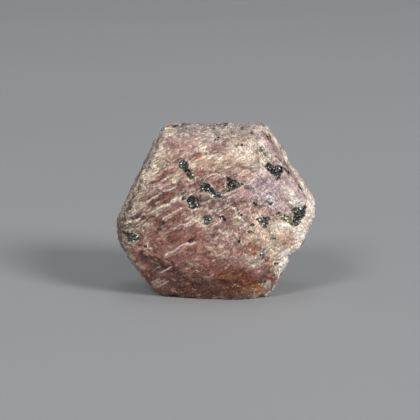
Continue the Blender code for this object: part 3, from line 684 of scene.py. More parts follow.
def along_and_across(x, z, turn):
    """Distances along a line turned in the XZ-plane, and to its lower side."""
    angle = math.radians(turn)
    return x * math.cos(angle) + z * math.sin(angle), x * math.sin(angle) - z * math.cos(angle)


def field(points, name):
    """One of the smooth noises. Each layer goes from about -1 to 1 times its share."""
    total = np.zeros(len(points))
    for share, seed, grain in NOISES[name]:
        places = (points / (np.asarray(grain) * MM) + seed).tolist()
        total += share * np.fromiter((noise.noise(place) for place in places), float, len(places))
    return total


def along_parting(points):
    """The points in axes that run along the parting, along the crystal's axis and across the parting."""
    along, across = along_and_across(points[:, 0], points[:, 2], PARTING_TURN)
    return np.column_stack((along, points[:, 1], across))


def ledge_rise(points, ledges):
    """How far the plates under the parting ledges stand proud."""
    rise = np.zeros(len(points))
    for ledge in ledges:
        along, below = along_and_across(points[:, 0] - ledge.x, points[:, 2] - ledge.z, ledge.turn)
        ends = ease(0.0, LEDGE_END, along) * ease(0.0, LEDGE_END, ledge.length - along)
        plate = np.clip(1.0 - below / ledge.width, 0.0, 1.0)
        rise += ledge.height * ease(-RISER, RISER, below) * plate * ends
    return rise


def pit_depth(points, pits):
    """How far the surface sinks at the dark grains."""
    depth = np.zeros(len(points))
    for pit in pits:
        along, across = along_and_across(points[:, 0] - pit.x, points[:, 2] - pit.z, pit.turn)
        reach = np.hypot(along / pit.long, across / pit.broad)
        depth = np.maximum(depth, pit.depth * (1.0 - ease(0.55, 1.25, reach)))
    return depth


def step_rise(points):
    """How far the growth steps lift the prism faces."""
    return sum(height * ease(-RISER, RISER, points[:, 1] - where) for where, height in GROWTH_STEPS)


def notch_rise(points):
    """How far the notch and the bulge above it move the face: in where negative."""
    below = NOTCH_Z - points[:, 2]
    sloped = ease(-NOTCH_SLOPE, 0.0, below)
    notch = sloped * (1.0 - ease(-RISER, RISER, below - NOTCH_FLOOR))
    bulge = ease(-BULGE_TOP, -BULGE_FULL, below) * (1.0 - sloped)
    return BULGE_RISE * bulge - NOTCH_DEPTH * notch


def facets_of(points, mosaic):
    """How far the facets of a mosaic lift each point, how far inside its facet the point lies, and the
    facet's tone."""
    dice = np.random.default_rng(mosaic.seed)
    chosen = dice.choice(len(points), round(SKIN_AREA / mosaic.size**2), replace=False)
    scaled = along_parting(points) / np.asarray(mosaic.stretch)
    tree = KDTree(len(chosen))
    for number, place in enumerate(scaled[chosen].tolist()):
        tree.insert(place, number)
    tree.balance()
    nearest = [tree.find_n(place, 2) for place in scaled.tolist()]
    owner = np.array([first[1] for first, _ in nearest])
    inside = np.array([second[2] - first[2] for first, second in nearest])
    tilts = dice.normal(0.0, mosaic.slope, (owner.max() + 1, 3))
    most = mosaic.slope * mosaic.size
    lifts = dice.normal(0.0, 0.25 * most, owner.max() + 1)
    tones = dice.uniform(-1.0, 1.0, owner.max() + 1)
    rise = ((points - points[chosen][owner]) * tilts[owner]).sum(axis=1) + lifts[owner]
    return np.clip(rise, -most, most), inside, tones[owner]


def skin_of(points, normals, edge):
    """What the relief and the colours need to know of each point of the worn crystal."""
    skin = SimpleNamespace(points=points, normals=normals, edge=edge)
    skin.px, skin.py = to_photo(points, normals)
    skin.front = ease(0.45, 0.80, -normals[:, 1])
    skin.back = ease(0.45, 0.80, normals[:, 1])
    skin.sides = ease(0.55, 0.90, np.hypot(normals[:, 0], normals[:, 2]))
    skin.sugar = covered(skin, CRUSTS, 0.7, 1.3)
    skin.live = 1.0 - covered(skin, CALM, 0.6, 1.4)
    skin.beds, skin.bed_grains = grain_beds(skin)
    skin.broad_rise, skin.broad_inside, skin.broad_tone = facets_of(points, BROAD_FACETS)
    skin.small_rise, skin.small_inside, skin.small_tone = facets_of(points, SMALL_FACETS)
    return skin


def relief(skin):
    """How far each point of the worn crystal moves along its normal."""
    points = skin.points
    lower_right = skin.sides * ease(0.75, 0.95, skin.normals @ outward(FACES["lower_right"]))
    wander_x, wander_z = field(points, "wander_x"), field(points, "wander_z")
    still = np.zeros(len(points))
    wandered = points + WANDER * np.column_stack((wander_x, still, wander_z))
    rise = MM * field(points, "lump")
    rise += skin.front * (ledge_rise(wandered, FRONT_LEDGES) - pit_depth(wandered, FRONT_PITS))
    rise += skin.back * (ledge_rise(wandered, BACK_LEDGES) - pit_depth(wandered, BACK_PITS))
    rise += skin.sides * step_rise(points + STEP_WANDER * np.column_stack((still, wander_x, wander_z)))
    rise += lower_right * notch_rise(wandered)
    bare = ease(-0.5, 1.5, skin.beds)
    rise += skin.broad_rise * (1.0 - 0.5 * skin.sugar) * (0.45 + 0.55 * skin.live)
    rise += skin.small_rise * bare * (0.10 + 0.22 * skin.live + 0.85 * skin.sugar)
    return rise + fine_relief(skin) * (0.2 + 0.8 * bare)


def covered(skin, ovals, full, none):
    """How far each place is covered by soft ovals, whole within one share of their size and gone at
    another. An oval without an amount of its own covers wholly."""
    most = np.zeros(len(skin.px))
    for oval in ovals:
        amount = getattr(oval, "amount", 1.0)
        most = np.maximum(most, amount * (1.0 - ease(full, none, in_oval(skin.px, skin.py, oval))))
    return most


def grain_beds(skin):
    """How far each place lies from the nearest dark grain, in pixels and negative inside it, and the
    number of that grain. On a face seen at a low angle a grain is no longer than it is broad."""
    x = skin.px + field(skin.points, "bed_x")
    y = skin.py + field(skin.points, "bed_y")
    far = skin.normals @ AHEAD > 0.0
    beds = np.full(len(x), FAR_OFF)
    grains = np.zeros(len(x), int)
    for number, shard in enumerate(all_shards()):
        middle, reach = middle_and_reach(shard.outline)
        close = close_to(x, y, shard.outline, BED_MARGIN)
        for side in (False, True):
            here = close[far[close] == side]
            if not len(here):
                continue
            gap = to_course(x[here], y[here], shard.outline + shard.outline[:1])
            gap = np.where(inside_outline(x[here], y[here], shard.outline), -gap, gap)
            heart = here[np.argmin(np.hypot(x[here] - middle[0], y[here] - middle[1]))]
            apart = np.linalg.norm(skin.points[here] - skin.points[heart], axis=1) / PX
            gap = np.maximum(gap, apart - GRAIN_STRETCH * reach)
            nearer = gap < beds[here]
            beds[here[nearer]] = gap[nearer]
            grains[here[nearer]] = number
    return beds, grains


def middle_and_reach(outline):
    """The middle of an outline and the distance to its farthest corner."""
    corners = np.array(outline)
    middle = (corners.min(axis=0) + corners.max(axis=0)) / 2
    return middle, np.hypot(*(corners - middle).T).max()


def fine_relief(skin):
    """Lamellae along the parting, striations round the prism, crumbs and worn chips on the edges."""
    points = skin.points
    lamella = field(along_parting(points), "lamella")
    terrace = np.round(lamella * TERRACES) / TERRACES * 0.6 + lamella * 0.4
    smooth_facet = ease(236.0, 262.0, skin.px) * ease(-3.0 * MM, 0.0, points[:, 2])
    basal = (skin.front + skin.back) * (0.5 + 0.5 * skin.live) * (1.0 - 0.7 * smooth_facet)
    striation = np.round(field(points, "striation") * TERRACES) / TERRACES
    crumbly = 0.12 + 0.18 * skin.live + 0.70 * skin.sugar
    chips = ease(0.12, 0.35, field(points, "chip"))
    rise = LAMELLA_RISE * basal * terrace + STRIATION_RISE * skin.sides * striation
    return rise + CRUMB_RISE * crumbly * field(points, "crumb") - CHIP_DEPTH * skin.edge * chips


def to_photo(points, normals):
    """Where places show in the photograph, measured from the crystal's axis. A place on the far side
    has the marks of the one that lies there when the crystal is turned over."""
    far = normals @ AHEAD > 0.0
    rel = np.where(far[:, None], points * TURNED_OVER, points) + AXIS - EYE
    depth = rel @ AHEAD
    return PHOTO_MIDDLE + FOCAL_PX * (rel @ RIGHT) / depth, PHOTO_MIDDLE - FOCAL_PX * (rel @ UP) / depth


def lattice(cells):
    """Corners, from -1 to 1, and quads of a box's surface cut into cells."""
    outer = np.zeros([count + 1 for count in cells], bool)
    outer[[0, -1]] = outer[:, [0, -1]] = outer[:, :, [0, -1]] = True
    index = np.full(outer.shape, -1)
    index[outer] = np.arange(outer.sum())
    corners = np.argwhere(outer) / np.array(cells) * 2.0 - 1.0
    quads = []
    for axis in range(3):
        sheets = np.moveaxis(index, axis, 0)
        for side in (0, -1):
            sheet = sheets[side]
            quad = np.stack((sheet[:-1, :-1], sheet[1:, :-1], sheet[1:, 1:], sheet[:-1, 1:]), -1)
            inward = (side == 0) != (axis == 1)
            quads.append((quad[..., ::-1] if inward else quad).reshape(-1, 4))
    return corners, np.concatenate(quads)


def linear(colour):
    """Scene-linear values of a screen colour given from 0 to 255."""
    share = np.asarray(colour, float) / 255.0
    return np.where(share <= 0.04045, share / 12.92, ((share + 0.055) / 1.055) ** 2.4)


def to_course(px, py, course):
    """Distance in pixels from each place to a line through the course's points."""
    nearest = np.full(len(px), FAR_OFF)
    for (x0, y0), (x1, y1) in zip(course, course[1:]):
        dx, dy = x1 - x0, y1 - y0
        share = np.clip(((px - x0) * dx + (py - y0) * dy) / (dx * dx + dy * dy), 0.0, 1.0)
        nearest = np.minimum(nearest, np.hypot(px - x0 - share * dx, py - y0 - share * dy))
    return nearest


def in_oval(px, py, oval):
    """Distance from an oval's middle, in shares of its size."""
    along, across = along_and_across(px - oval.px, oval.py - py, oval.turn)
    return np.hypot(along / oval.long, across / oval.broad)


def spot_in_oval(oval, reach, angle):
    """The pixel that lies a share of the way out from an oval's middle, at an angle in its own axes."""
    along = oval.long * reach * math.cos(angle)
    across = oval.broad * reach * math.sin(angle)
    turn = math.radians(oval.turn)
    return (
        oval.px + along * math.cos(turn) - across * math.sin(turn),
        oval.py - along * math.sin(turn) - across * math.cos(turn),
    )


def thrown_into(oval, dice):
    return spot_in_oval(oval, math.sqrt(dice.random()), dice.uniform(0.0, 2.0 * math.pi))


def oval_outline(oval):
    """The outline of an oval grain, a little angular."""
    angles = [2.0 * math.pi * step / OVAL_CORNERS for step in range(OVAL_CORNERS)]
    return tuple(spot_in_oval(oval, 1.0, angle) for angle in angles)


def all_shards():
    """The dark grains, each with its outline."""
    drawn = [Shard(look, outline) for look, outlines in SHARD_GRAINS.items() for outline in outlines]
    ovals = [(look, Oval(*row)) for look, rows in OVAL_GRAINS.items() for row in rows]
    return drawn + [Shard(look, oval_outline(oval)) for look, oval in ovals]


def inside_outline(px, py, outline):
    """Whether each place lies inside a closed outline."""
    crossings = np.zeros(np.shape(px), int)
    for (x0, y0), (x1, y1) in zip(outline, outline[1:] + outline[:1]):
        spans = (py > min(y0, y1)) & (py <= max(y0, y1))
        if y1 != y0:
            crossings += spans & (px < x0 + (py - y0) * (x1 - x0) / (y1 - y0))
    return crossings % 2 == 1


def close_to(px, py, course, margin):
    """The numbers of the places that may lie within a margin of a course."""
    (left, top), (right, bottom) = np.min(course, axis=0) - margin, np.max(course, axis=0) + margin
    return np.flatnonzero((px > left) & (px < right) & (py > top) & (py < bottom))


def short_line(dice, hatch, mineral):
    """One of a family's lines, at a random place in its area."""
    px, py = thrown_into(hatch, dice)
    length = dice.uniform(2.5, 7.5)
    turn = math.radians(hatch.lines + dice.uniform(-5.0, 5.0))
    step = dice.uniform(-0.8, 0.8)
    run, climb = length * math.cos(turn), length * math.sin(turn)
    course = ((px, py), (px + 0.5 * run, py - 0.5 * climb), (px + run, py - climb + step))
    return Band(mineral, dice.uniform(0.20, 0.45), dice.uniform(0.20, 0.70), course)


def all_lines():
    """The bands of colour, the fine parting lines, and a pale line under each crest that is partly
    painted highlight.
    """
    dice = random.Random(LINE_SEED)
    rows = [(mineral, row) for mineral, rows in BANDS.items() for row in rows]
    bands = [Band(mineral, half, amount, course) for mineral, (half, amount, *course) in rows]
    # The pale line under each crest is partly the broken rim's own paleness, partly painted highlight of
    # the lit riser.
    crests = [Band("white", half / CREST_PX, 0.80, course) for half, *course in CRESTS]
    counts = [(hatch, *wanted) for hatch in HATCHES for wanted in hatch.counts.items()]
    fine = [short_line(dice, hatch, mineral) for hatch, mineral, count in counts for _ in range(count)]
    return bands + fine + crests


def blend(colours, colour, amount):
    return colours + (linear(colour) - colours) * np.asarray(amount)[..., None]


def tints(skin):
    """The crystal's colour at each point, before the fine grain that its material adds."""
    for name in ("ring", "cloud", "mottle", "speckle", "warp_x", "warp_y"):
        setattr(skin, name, field(skin.points, name))
    streak = field(along_parting(skin.points), "streak")
    skin.banding = streak * (1.0 - skin.sides) + skin.ring * skin.sides
    colours = patch_tints(skin, ground_tints(skin))
    colours = line_tints(skin, grain_tints(skin, colours))
    rim = 0.7 * (1.0 - ease(0.6, 2.2, skin.beds)) * ease(-0.3, 0.3, skin.mottle)
    colours = blend(colours, COLOURS["cream"], rim)
    looks = np.array([linear(LOOKS[shard.look]) for shard in all_shards()])
    shown = 0.95 * (1.0 - ease(0.0, 0.8, skin.beds))
    return colours + (looks[skin.bed_grains] - colours) * shown[:, None]


def ground_tints(skin):
    """The stone between the marks, which also covers the sides that the photograph doesn't show."""
    banding, cloud, mottle = skin.banding, skin.cloud, skin.mottle
    colours = np.tile(linear(COLOURS["pink"]), (len(cloud), 1))
    colours = blend(colours, COLOURS["brick"], ease(-0.1, 0.7, banding + 0.3 * cloud) * 0.8)
    colours = blend(colours, COLOURS["cream"], ease(0.15, 0.75, mottle - 0.5 * banding) * 0.7)
    colours = blend(colours, COLOURS["grey"], skin.sides * (0.45 + 0.3 * cloud))
    return blend(colours, COLOURS["umber"], ease(0.30, 0.85, cloud - 0.4 * mottle) * 0.6)


def patch_tints(skin, colours):
    """Lays the patches over the ground."""
    wavy = 0.3 * skin.mottle - 0.2 * skin.banding + 0.3 * skin.speckle
    for patch in PATCHES:
        reach = in_oval(skin.px + skin.warp_x, skin.py + skin.warp_y, patch)
        amount = patch.amount * (1.0 - ease(0.55, 1.30, reach))
        grained = np.clip(amount * (1.0 + wavy * skin.live), 0.0, 1.0)
        colours = blend(colours, COLOURS[patch.mineral], grained)
    return colours


def grain_tints(skin, colours):
    """Pale and dark facets, veins between the facets, and the dark mottling of the upper left face."""
    lively = 0.08 + 0.92 * skin.live
    pale = ease(0.10, 0.65, skin.speckle + 0.5 * skin.small_tone + 0.2 * skin.broad_tone)
    dark = ease(0.10, 0.75, 0.5 * skin.broad_tone - skin.speckle - 0.5 * skin.small_tone)
    colours = colours * (1.0 + lively * (0.10 * skin.broad_tone + 0.07 * skin.small_tone))[:, None]
    colours = blend(colours, COLOURS["cream"], 0.30 * pale * lively)
    colours = colours * (1.0 - 0.28 * dark * lively)[:, None]
    veined = ease(-0.1, 0.4, skin.mottle + 0.3 * skin.cloud)
    vein = (1.0 - ease(0.04 * MM, 0.14 * MM, skin.broad_inside)) * veined
    colours = blend(colours, COLOURS["cream"], 0.38 * vein * lively)
    gap = (1.0 - ease(0.03 * MM, 0.10 * MM, skin.small_inside)) * ease(-0.1, 0.4, -skin.mottle)
    colours = blend(colours, COLOURS["umber"], 0.26 * gap * lively)
    upper_left = skin.normals @ outward(FACES["upper_left"])
    depth = skin.points[:, 1]
    blotch = skin.mottle + 0.5 * skin.ring
    near_front = ease(1.0 * MM, -6.0 * MM, depth)
    face = ease(0.80, 0.95, upper_left) * ease(-0.05, 0.25, blotch + 0.5 * near_front - 0.1)
    colours = blend(colours, LOOKS["black"], 0.48 * face)
    rim = ease(0.30, 0.62, upper_left) * ease(-3.0 * MM, -6.0 * MM, depth)
    return blend(colours, LOOKS["black"], 0.80 * rim * ease(-0.35, 0.10, blotch + 0.2))


def line_tints(skin, colours):
    """Draws the lines, a little wavy and ragged. Black ones break up on the prism faces."""
    whole = 1.0 - skin.sides * (1.0 - ease(-0.15, 0.15, skin.ring + 0.9 * skin.mottle))
    for line in all_lines():
        here = close_to(skin.px, skin.py, line.course, 3.0 * line.half + 2.0)
        x = skin.px[here] + 0.25 * skin.warp_x[here]
        y = skin.py[here] + 0.25 * skin.warp_y[here]
        ragged = 1.0 + 0.5 * skin.speckle[here] + 0.35 * skin.mottle[here]
        reach = to_course(x, y, line.course) * ragged
        shown = line.amount * (1.0 - ease(0.6 * line.half, 1.4 * line.half + 0.3, reach))
        if line.mineral == "black":
            shown = shown * whole[here]
        colours[here] = blend(colours[here], COLOURS[line.mineral], shown)
    return colours


def new_piece(name, mesh, tint, material):
    """A piece that rides the body, with a colour at each of its points."""
    layer = mesh.color_attributes.new("tint", "FLOAT_COLOR", "POINT")
    layer.data.foreach_set("color", np.column_stack((tint, np.ones(len(tint)))).ravel())
    mesh.materials.append(material)
    piece = bpy.data.objects.new(name, mesh)
    bpy.context.scene.collection.objects.link(piece)
    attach(piece, "root")
    return piece


def ruby_surface(material):
    """The whole crystal as one skin, and a tree for finding places on it."""
    corners, quads = lattice(CELLS)
    corners = corners * np.array(BOX_HALF)
    x, z = along_and_across(corners[:, 0], -corners[:, 2], PARTING_TURN)
    turned = np.column_stack((x, corners[:, 1], z))
    skin = skin_of(*onto_crystal(turned / np.linalg.norm(turned, axis=1, keepdims=True)))
    skin.points = skin.points + skin.normals * relief(skin)[:, None]
    skin.px, skin.py = to_photo(skin.points, skin.normals)
    colours = tints(skin)
    places = skin.points + AXIS
    places[:, 2] = np.maximum(places[:, 2], 0.0)
    mesh = bpy.data.meshes.new("ruby_surface")
    mesh.from_pydata(places.tolist(), [], quads.tolist())
    mesh.polygons.foreach_set("use_smooth", [True] * len(quads))
    basal = ease(0.35, 0.60, np.abs(skin.normals[:, 1]))
    redness = 1.0 - colours.min(axis=1) / np.maximum(colours.max(axis=1), 1e-4)
    kinds = {
        "live": skin.live * (1.0 - RUDDY_SMOOTHNESS * ease(0.40, 0.70, redness)),
        "ringed": 1.0 - basal,
        "streaky": basal * (1.0 - 0.85 * ease(222.0, 256.0, skin.px)),
    }
    for name, values in kinds.items():
        mesh.attributes.new(name, "FLOAT", "POINT").data.foreach_set("value", values)
    tree = BVHTree.FromPolygons(places.tolist(), quads.tolist())
    return new_piece("ruby_surface", mesh, colours, material), tree


def on_surface(tree, px, py, far):
    """The place and normal on the crystal that a pixel of the photograph shows, or the one that lies
    there when the crystal is turned over, or nothing."""
    over = TURNED_OVER if far else np.ones(3)
    ray = (AHEAD * FOCAL_PX + RIGHT * (px - PHOTO_MIDDLE) - UP * (py - PHOTO_MIDDLE)) * over
    place, normal, _, _ = tree.ray_cast(Vector((EYE - AXIS) * over + AXIS), Vector(ray).normalized())
    if place is not None and place.z < FOOT:
        return None, None
    return place, normal


def frame_on(normal, turn):
    """Three directions: along the surface on a line turned by turn, across it, and out."""
    angle = math.radians(turn)
    wanted = Vector(RIGHT) * math.cos(angle) + Vector(UP) * math.sin(angle)
    along = (wanted - normal * wanted.dot(normal)).normalized()
    return along, normal.cross(along), normal


class Pile:
    """Many small shapes that make up one piece."""

    def __init__(self, seed):
        self.dice = random.Random(seed)
        self.places = []
        self.faces = []
        self.tints = []

    def add_chip(self, place, axes, sizes, tint, points):
        """Adds one small angular crystal: the hull of points thrown on an ellipsoid."""
        lump = bmesh.new()
        for _ in range(points):
            spot = Vector([self.dice.gauss(0, 1) for _ in range(3)]).normalized()
            offsets = [axis * (share * size) for axis, share, size in zip(axes, spot, sizes)]
            lump.verts.new(place + sum(offsets, Vector()))
        bmesh.ops.convex_hull(lump, input=lump.verts[:])
        lump.verts.ensure_lookup_table()
        used = [vert for vert in lump.verts if vert.link_faces]
        number = {vert: len(self.places) + i for i, vert in enumerate(used)}
        self.places += [tuple(vert.co) for vert in used]
        self.faces += [tuple(number[vert] for vert in face.verts) for face in lump.faces]
        self.tints += [tint] * len(used)
        lump.free()

    def add_crest(self, rings):
        """Adds a closed ridge of three-sided sections through the rings."""
        start = len(self.places)
        last = len(rings) - 1
        for i, (place, normal, half, height, lean) in enumerate(rings):
            ahead = (rings[min(i + 1, last)][0] - rings[max(i - 1, 0)][0]).normalized()
            side = normal.cross(ahead).normalized() * half
            root = place - normal * CREST_ROOT
            top = place + normal * height + side * lean
            self.places += [tuple(root - side), tuple(root + side), tuple(top)]
            # Crest tint: white, partly the broken rim's own paleness and partly painted highlight of the
            # lit riser.
            self.tints += [tuple(linear(COLOURS["white"]) * self.dice.uniform(0.80, 1.15))] * 3
        for a in range(start, start + 3 * last, 3):
            b = a + 3
            self.faces += [(a, a + 1, b + 1, b), (a + 1, a + 2, b + 2, b + 1), (a + 2, a, b, b + 2)]
        end = start + 3 * last
        self.faces += [(start, start + 2, start + 1), (end, end + 1, end + 2)]

    def piece(self, name, material):
        mesh = bpy.data.meshes.new(name)
        mesh.from_pydata(self.places, [], self.faces)
        return new_piece(name, mesh, self.tints, material)


def dark_grains(tree, material):
    """Clusters of small angular crystals where the dark grains are."""
    pile = Pile(GRAIN_SEED)
    dice = pile.dice
    for far in (False, True):
        for shard in all_shards():
            xs, ys = zip(*shard.outline)
            wide, high = max(xs) - min(xs), max(ys) - min(ys)
            middle, reach = middle_and_reach(shard.outline)
            heart, _ = on_surface(tree, *middle, far)
            if heart is None:
                continue
            spacing = CLOSE_SPACING if min(wide, high) < SMALL_GRAIN else WIDE_SPACING
            for row in range(math.ceil(high / spacing) + 1):
                for column in range(math.ceil(wide / spacing) + 1):
                    px = min(xs) + spacing * (column + dice.uniform(-0.45, 0.45))
                    py = min(ys) + spacing * (row + dice.uniform(-0.45, 0.45))
                    place, normal = on_surface(tree, px, py, far)
                    if place is None or not inside_outline(px, py, shard.outline):
                        continue
                    if (place - heart).length <= GRAIN_STRETCH * reach * PX:
                        size = PX * spacing * dice.uniform(0.55, 1.15)
                        add_grain(pile, shard.look, place, normal, size)
    return pile.piece("dark_grains", material)


def add_grain(pile, kind, place, normal, size):
    """Adds one crystal of a dark grain, now and then with a small pale chip on top as a painted glint.
    """
    dice = pile.dice
    axes = frame_on(normal, dice.uniform(0.0, 180.0))
    look = dice.choice(MIXES[kind])
    tint = tuple(linear(LOOKS[look]) * dice.uniform(0.6, 1.5))
    sizes = (size * dice.uniform(0.9, 1.5), size * dice.uniform(0.7, 1.1), size * 0.55)
    pile.add_chip(place - normal * size * 0.08, axes, sizes, tint, CHIP_POINTS)
    # A pale chip on top of some dark crystals is a painted glint.
    if look in ("black", "green") and dice.random() < PAINTED_GLINT_SHARE:
        painted_glint = tuple(linear(LOOKS["painted_glint"]) * dice.uniform(0.5, 1.3))
        top = place + normal * size * 0.45 + axes[0] * size * dice.uniform(-0.6, 0.6)
        sizes = (size * 0.42, size * 0.30, size * 0.20)
        pile.add_chip(top, axes, sizes, painted_glint, PAINTED_GLINT_POINTS)


def crust_crystals(tree, material):
    """Small pale crystals in the sugary crusts, some along the rims as painted glints."""
    pile = Pile(CRUST_SEED)
    dice = pile.dice
    throws = [(far, crust) for far in (False, True) for crust in CRUSTS for _ in range(crust.count)]
    for far, crust in throws:
        place, normal = on_surface(tree, *thrown_into(crust, dice), far)
        if place is None:
            continue
        size = PX * dice.uniform(0.45, 1.25)
        axes = frame_on(normal, dice.uniform(0.0, 180.0))
        tint = tuple(linear(COLOURS[dice.choice(CRUST_MIX)]) * dice.uniform(0.8, 1.1))
        sizes = (size * dice.uniform(0.8, 1.4), size * dice.uniform(0.7, 1.1), size * 0.8)
        pile.add_chip(place - normal * size * 0.35, axes, sizes, tint, CHIP_POINTS)
    return pile.piece("crust_crystals", material)


def plate_rims(tree, material):
    """Low angular crests along the broken rims of the parting plates."""
    pile = Pile(RIM_SEED)
    dice = pile.dice
    for far in (False, True):
        for breadth, *course in CRESTS:
            spots = []
            for (x0, y0), (x1, y1) in zip(course, course[1:]):
                steps = max(2, round(math.hypot(x1 - x0, y1 - y0) / CREST_STEP))
                spots += [(x0 + (x1 - x0) * i / steps, y0 + (y1 - y0) * i / steps) for i in range(steps)]
            spots.append(course[-1])
            rings = []
            for i, (px, py) in enumerate(spots):
                if i % 2 == 0:
                    stray = dice.uniform(-0.55, 0.55)
                place, normal = on_surface(tree, px + dice.uniform(-0.2, 0.2), py + stray, far)
                if place is None:
                    continue
                end = math.sin(math.pi * (i + 0.4) / (len(spots) - 0.2)) ** 0.35
                half = breadth * MM * end * dice.uniform(0.6, 1.4)
                height = dice.uniform(0.3, 0.6) * half
                rings.append((place, normal, half, height, dice.uniform(-0.5, 0.5)))
            if len(rings) > 1:
                pile.add_crest(rings)
    return pile.piece("plate_rims", material)


class Shading:
    """A material, with short ways to add nodes to it. Values are sockets or constants."""

    def __init__(self, name, **settings):
        self.material = bpy.data.materials.new(name)
        self.material.use_nodes = True
        self.tree = self.material.node_tree
        for key, value in settings.items():
            self.set(key.replace("_", " "), value)

    def put(self, socket, value):
        if isinstance(value, bpy.types.NodeSocket):
            self.tree.links.new(value, socket)
        else:
            socket.default_value = value

    def set(self, name, value):
        """Sets one of the shader's own inputs."""
        self.put(self.tree.nodes["Principled BSDF"].inputs[name], value)

    def add(self, kind, out, inputs, **settings):
        """One output of a new node."""
        node = self.tree.nodes.new("ShaderNode" + kind)
        for name, value in settings.items():
            setattr(node, name, value)
        for name, value in inputs.items():
            self.put(node.inputs[name], value)
        return node.outputs[out]

    def attribute(self, name, out="Fac"):
        return self.add("Attribute", out, {}, attribute_name=name)

    def mixed(self, kind, amount, first, second):
        return self.add("Mix", 2, {0: amount, 6: first, 7: second}, data_type="RGBA", blend_type=kind)

    def ranged(self, value, low, high, to_low, to_high):
        spans = {"From Min": low, "From Max": high, "To Min": to_low, "To Max": to_high}
        return self.add("MapRange", "Result", {"Value": value, **spans}, clamp=True)

    def combined(self, operation, first, second):
        return self.add("Math", 0, {0: first, 1: second}, operation=operation)

    def vectors(self, operation, *values):
        return self.add("VectorMath", 0, dict(enumerate(values)), operation=operation)

    def where(self):
        return self.add("TexCoord", "Object", {})

    def noise(self, repeats, stretch=(1.0, 1.0, 1.0), detail=3.0, turn=0.0):
        """Noise over the object's own coordinates, with so many repeats a metre."""
        axes = {"Vector": self.where(), "Rotation": (0.0, math.radians(turn), 0.0), "Scale": stretch}
        place = self.add("Mapping", "Vector", axes, vector_type="TEXTURE")
        inputs = {"Vector": place, "Scale": repeats, "Detail": detail, "Roughness": 0.6}
        return self.add("TexNoise", "Fac", inputs)

    def bump(self, height, strength, distance, **below):
        inputs = {"Height": height, "Strength": strength, "Distance": distance, **below}
        return self.add("Bump", "Normal", inputs)

    def glittered(self, normal, repeats, tilt):
        """The normal, tilted at random from one tiny facet to the next, and each one's random colour."""
        inputs = {"Vector": self.where(), "Scale": repeats}
        chance = self.add("TexVoronoi", "Color", inputs, feature="F1")
        turned = self.vectors("MULTIPLY_ADD", chance, (tilt,) * 3, (-tilt / 2,) * 3)
        return self.vectors("NORMALIZE", self.vectors("ADD", normal, turned)), chance


def ruby_material():
    """Streaks along the parting, crossed strokes to their right, rings on the prism faces, specks and
    small glinting facets. Smooth places have less of all of them."""
    stone = Shading(
        "ruby_stone",
        IOR=1.6,
        Subsurface_Weight=0.08,
        Subsurface_Radius=(1.0, 0.45, 0.35),
        Subsurface_Scale=0.0005,
    )
    live, streaky, ringed = (stone.attribute(name) for name in ("live", "streaky", "ringed"))
    fine = stone.noise(6000.0)
    threads = stone.noise(1500.0, (2.4, 1.4, 0.26), turn=-PARTING_TURN)
    lines = stone.noise(1500.0, (6.0, 2.0, 0.7), 4.0, -PARTING_TURN)
    falling = stone.noise(1500.0, (1.8, 1.4, 0.28), turn=57.0)
    rising = stone.noise(1500.0, (1.6, 1.4, 0.28), turn=-38.0)
    patchy = stone.ranged(stone.noise(420.0, detail=2.0), 0.44, 0.56, 0.0, 1.0)
    crossed = stone.mixed("MIX", patchy, falling, rising)
    speck = stone.noise(6200.0, detail=2.0)
    rings = stone.noise(1500.0, (1.0, 0.32, 1.0))
    blotches = stone.noise(480.0, (1.0, 1.0, 0.6), turn=-PARTING_TURN)

    strong = stone.ranged(live, 0.0, 1.0, 0.12, 1.0)
    grainy = stone.combined("MULTIPLY", strong, stone.ranged(streaky, 0.0, 1.0, 1.0, 0.45))
    fading = stone.ranged(stone.noise(380.0, detail=2.0), 0.42, 0.58, 0.40, 1.0)
    combed = stone.combined("MULTIPLY", stone.ranged(live, 0.0, 1.0, 0.28, 1.0), streaky)
    combed = stone.combined("MULTIPLY", combed, fading)
    across = stone.combined("SUBTRACT", stone.ranged(ringed, 0.0, 1.0, 1.0, 0.0), streaky)
    across = stone.combined("MULTIPLY", across, fading)

    rough = stone.bump(fine, 0.8, 0.00010)
    lined = stone.bump(lines, 0.6, 0.00012, Normal=rough)
    strokes = stone.mixed("MIX", streaky, crossed, threads)
    normal, chance = stone.glittered(stone.bump(strokes, 0.7, 0.00010, Normal=lined), 5200.0, 0.85)
    stone.set("Normal", normal)

    # How much each noise shows, the noise, its span, and what the span multiplies the tint by.
    steps = (
        (grainy, fine, 0.40, 0.60, 0.60, 1.48),
        (combed, threads, 0.40, 0.60, 0.54, 1.58),
        (across, crossed, 0.40, 0.60, 0.56, 1.52),
        (ringed, rings, 0.38, 0.62, 0.60, 1.46),
        (strong, stone.noise(1300.0), 0.35, 0.65, 0.80, 1.22),
        (1.0, blotches, 0.38, 0.62, 0.85, 1.15),
        (combed, lines, 0.35, 0.65, 0.74, 1.26),
        (grainy, chance, 0.2, 0.8, 0.70, 1.32),
    )
    shaded = stone.attribute("tint", "Color")
    for amount, *span in steps:
        shaded = stone.mixed("MULTIPLY", amount, shaded, stone.ranged(*span))
    shaded = stone.mixed("MIX", stone.ranged(threads, 0.60, 0.70, 0.0, 0.25), shaded, PALE_THREAD)
    pale = stone.mixed("MIX", stone.ranged(speck, 0.60, 0.66, 0.0, 0.70), shaded, PALE_SPECK)
    dark = stone.mixed("MIX", stone.ranged(speck, 0.37, 0.31, 0.0, 0.6), pale, DARK_SPECK)
    stone.set("Base Color", stone.mixed("MIX", grainy, shaded, dark))
    glossy = stone.ranged(chance, 0.50, 0.72, 0.55, 0.08)
    stone.set("Roughness", stone.mixed("MIX", strong, (0.5, 0.5, 0.5, 1.0), glossy))
    return stone.material


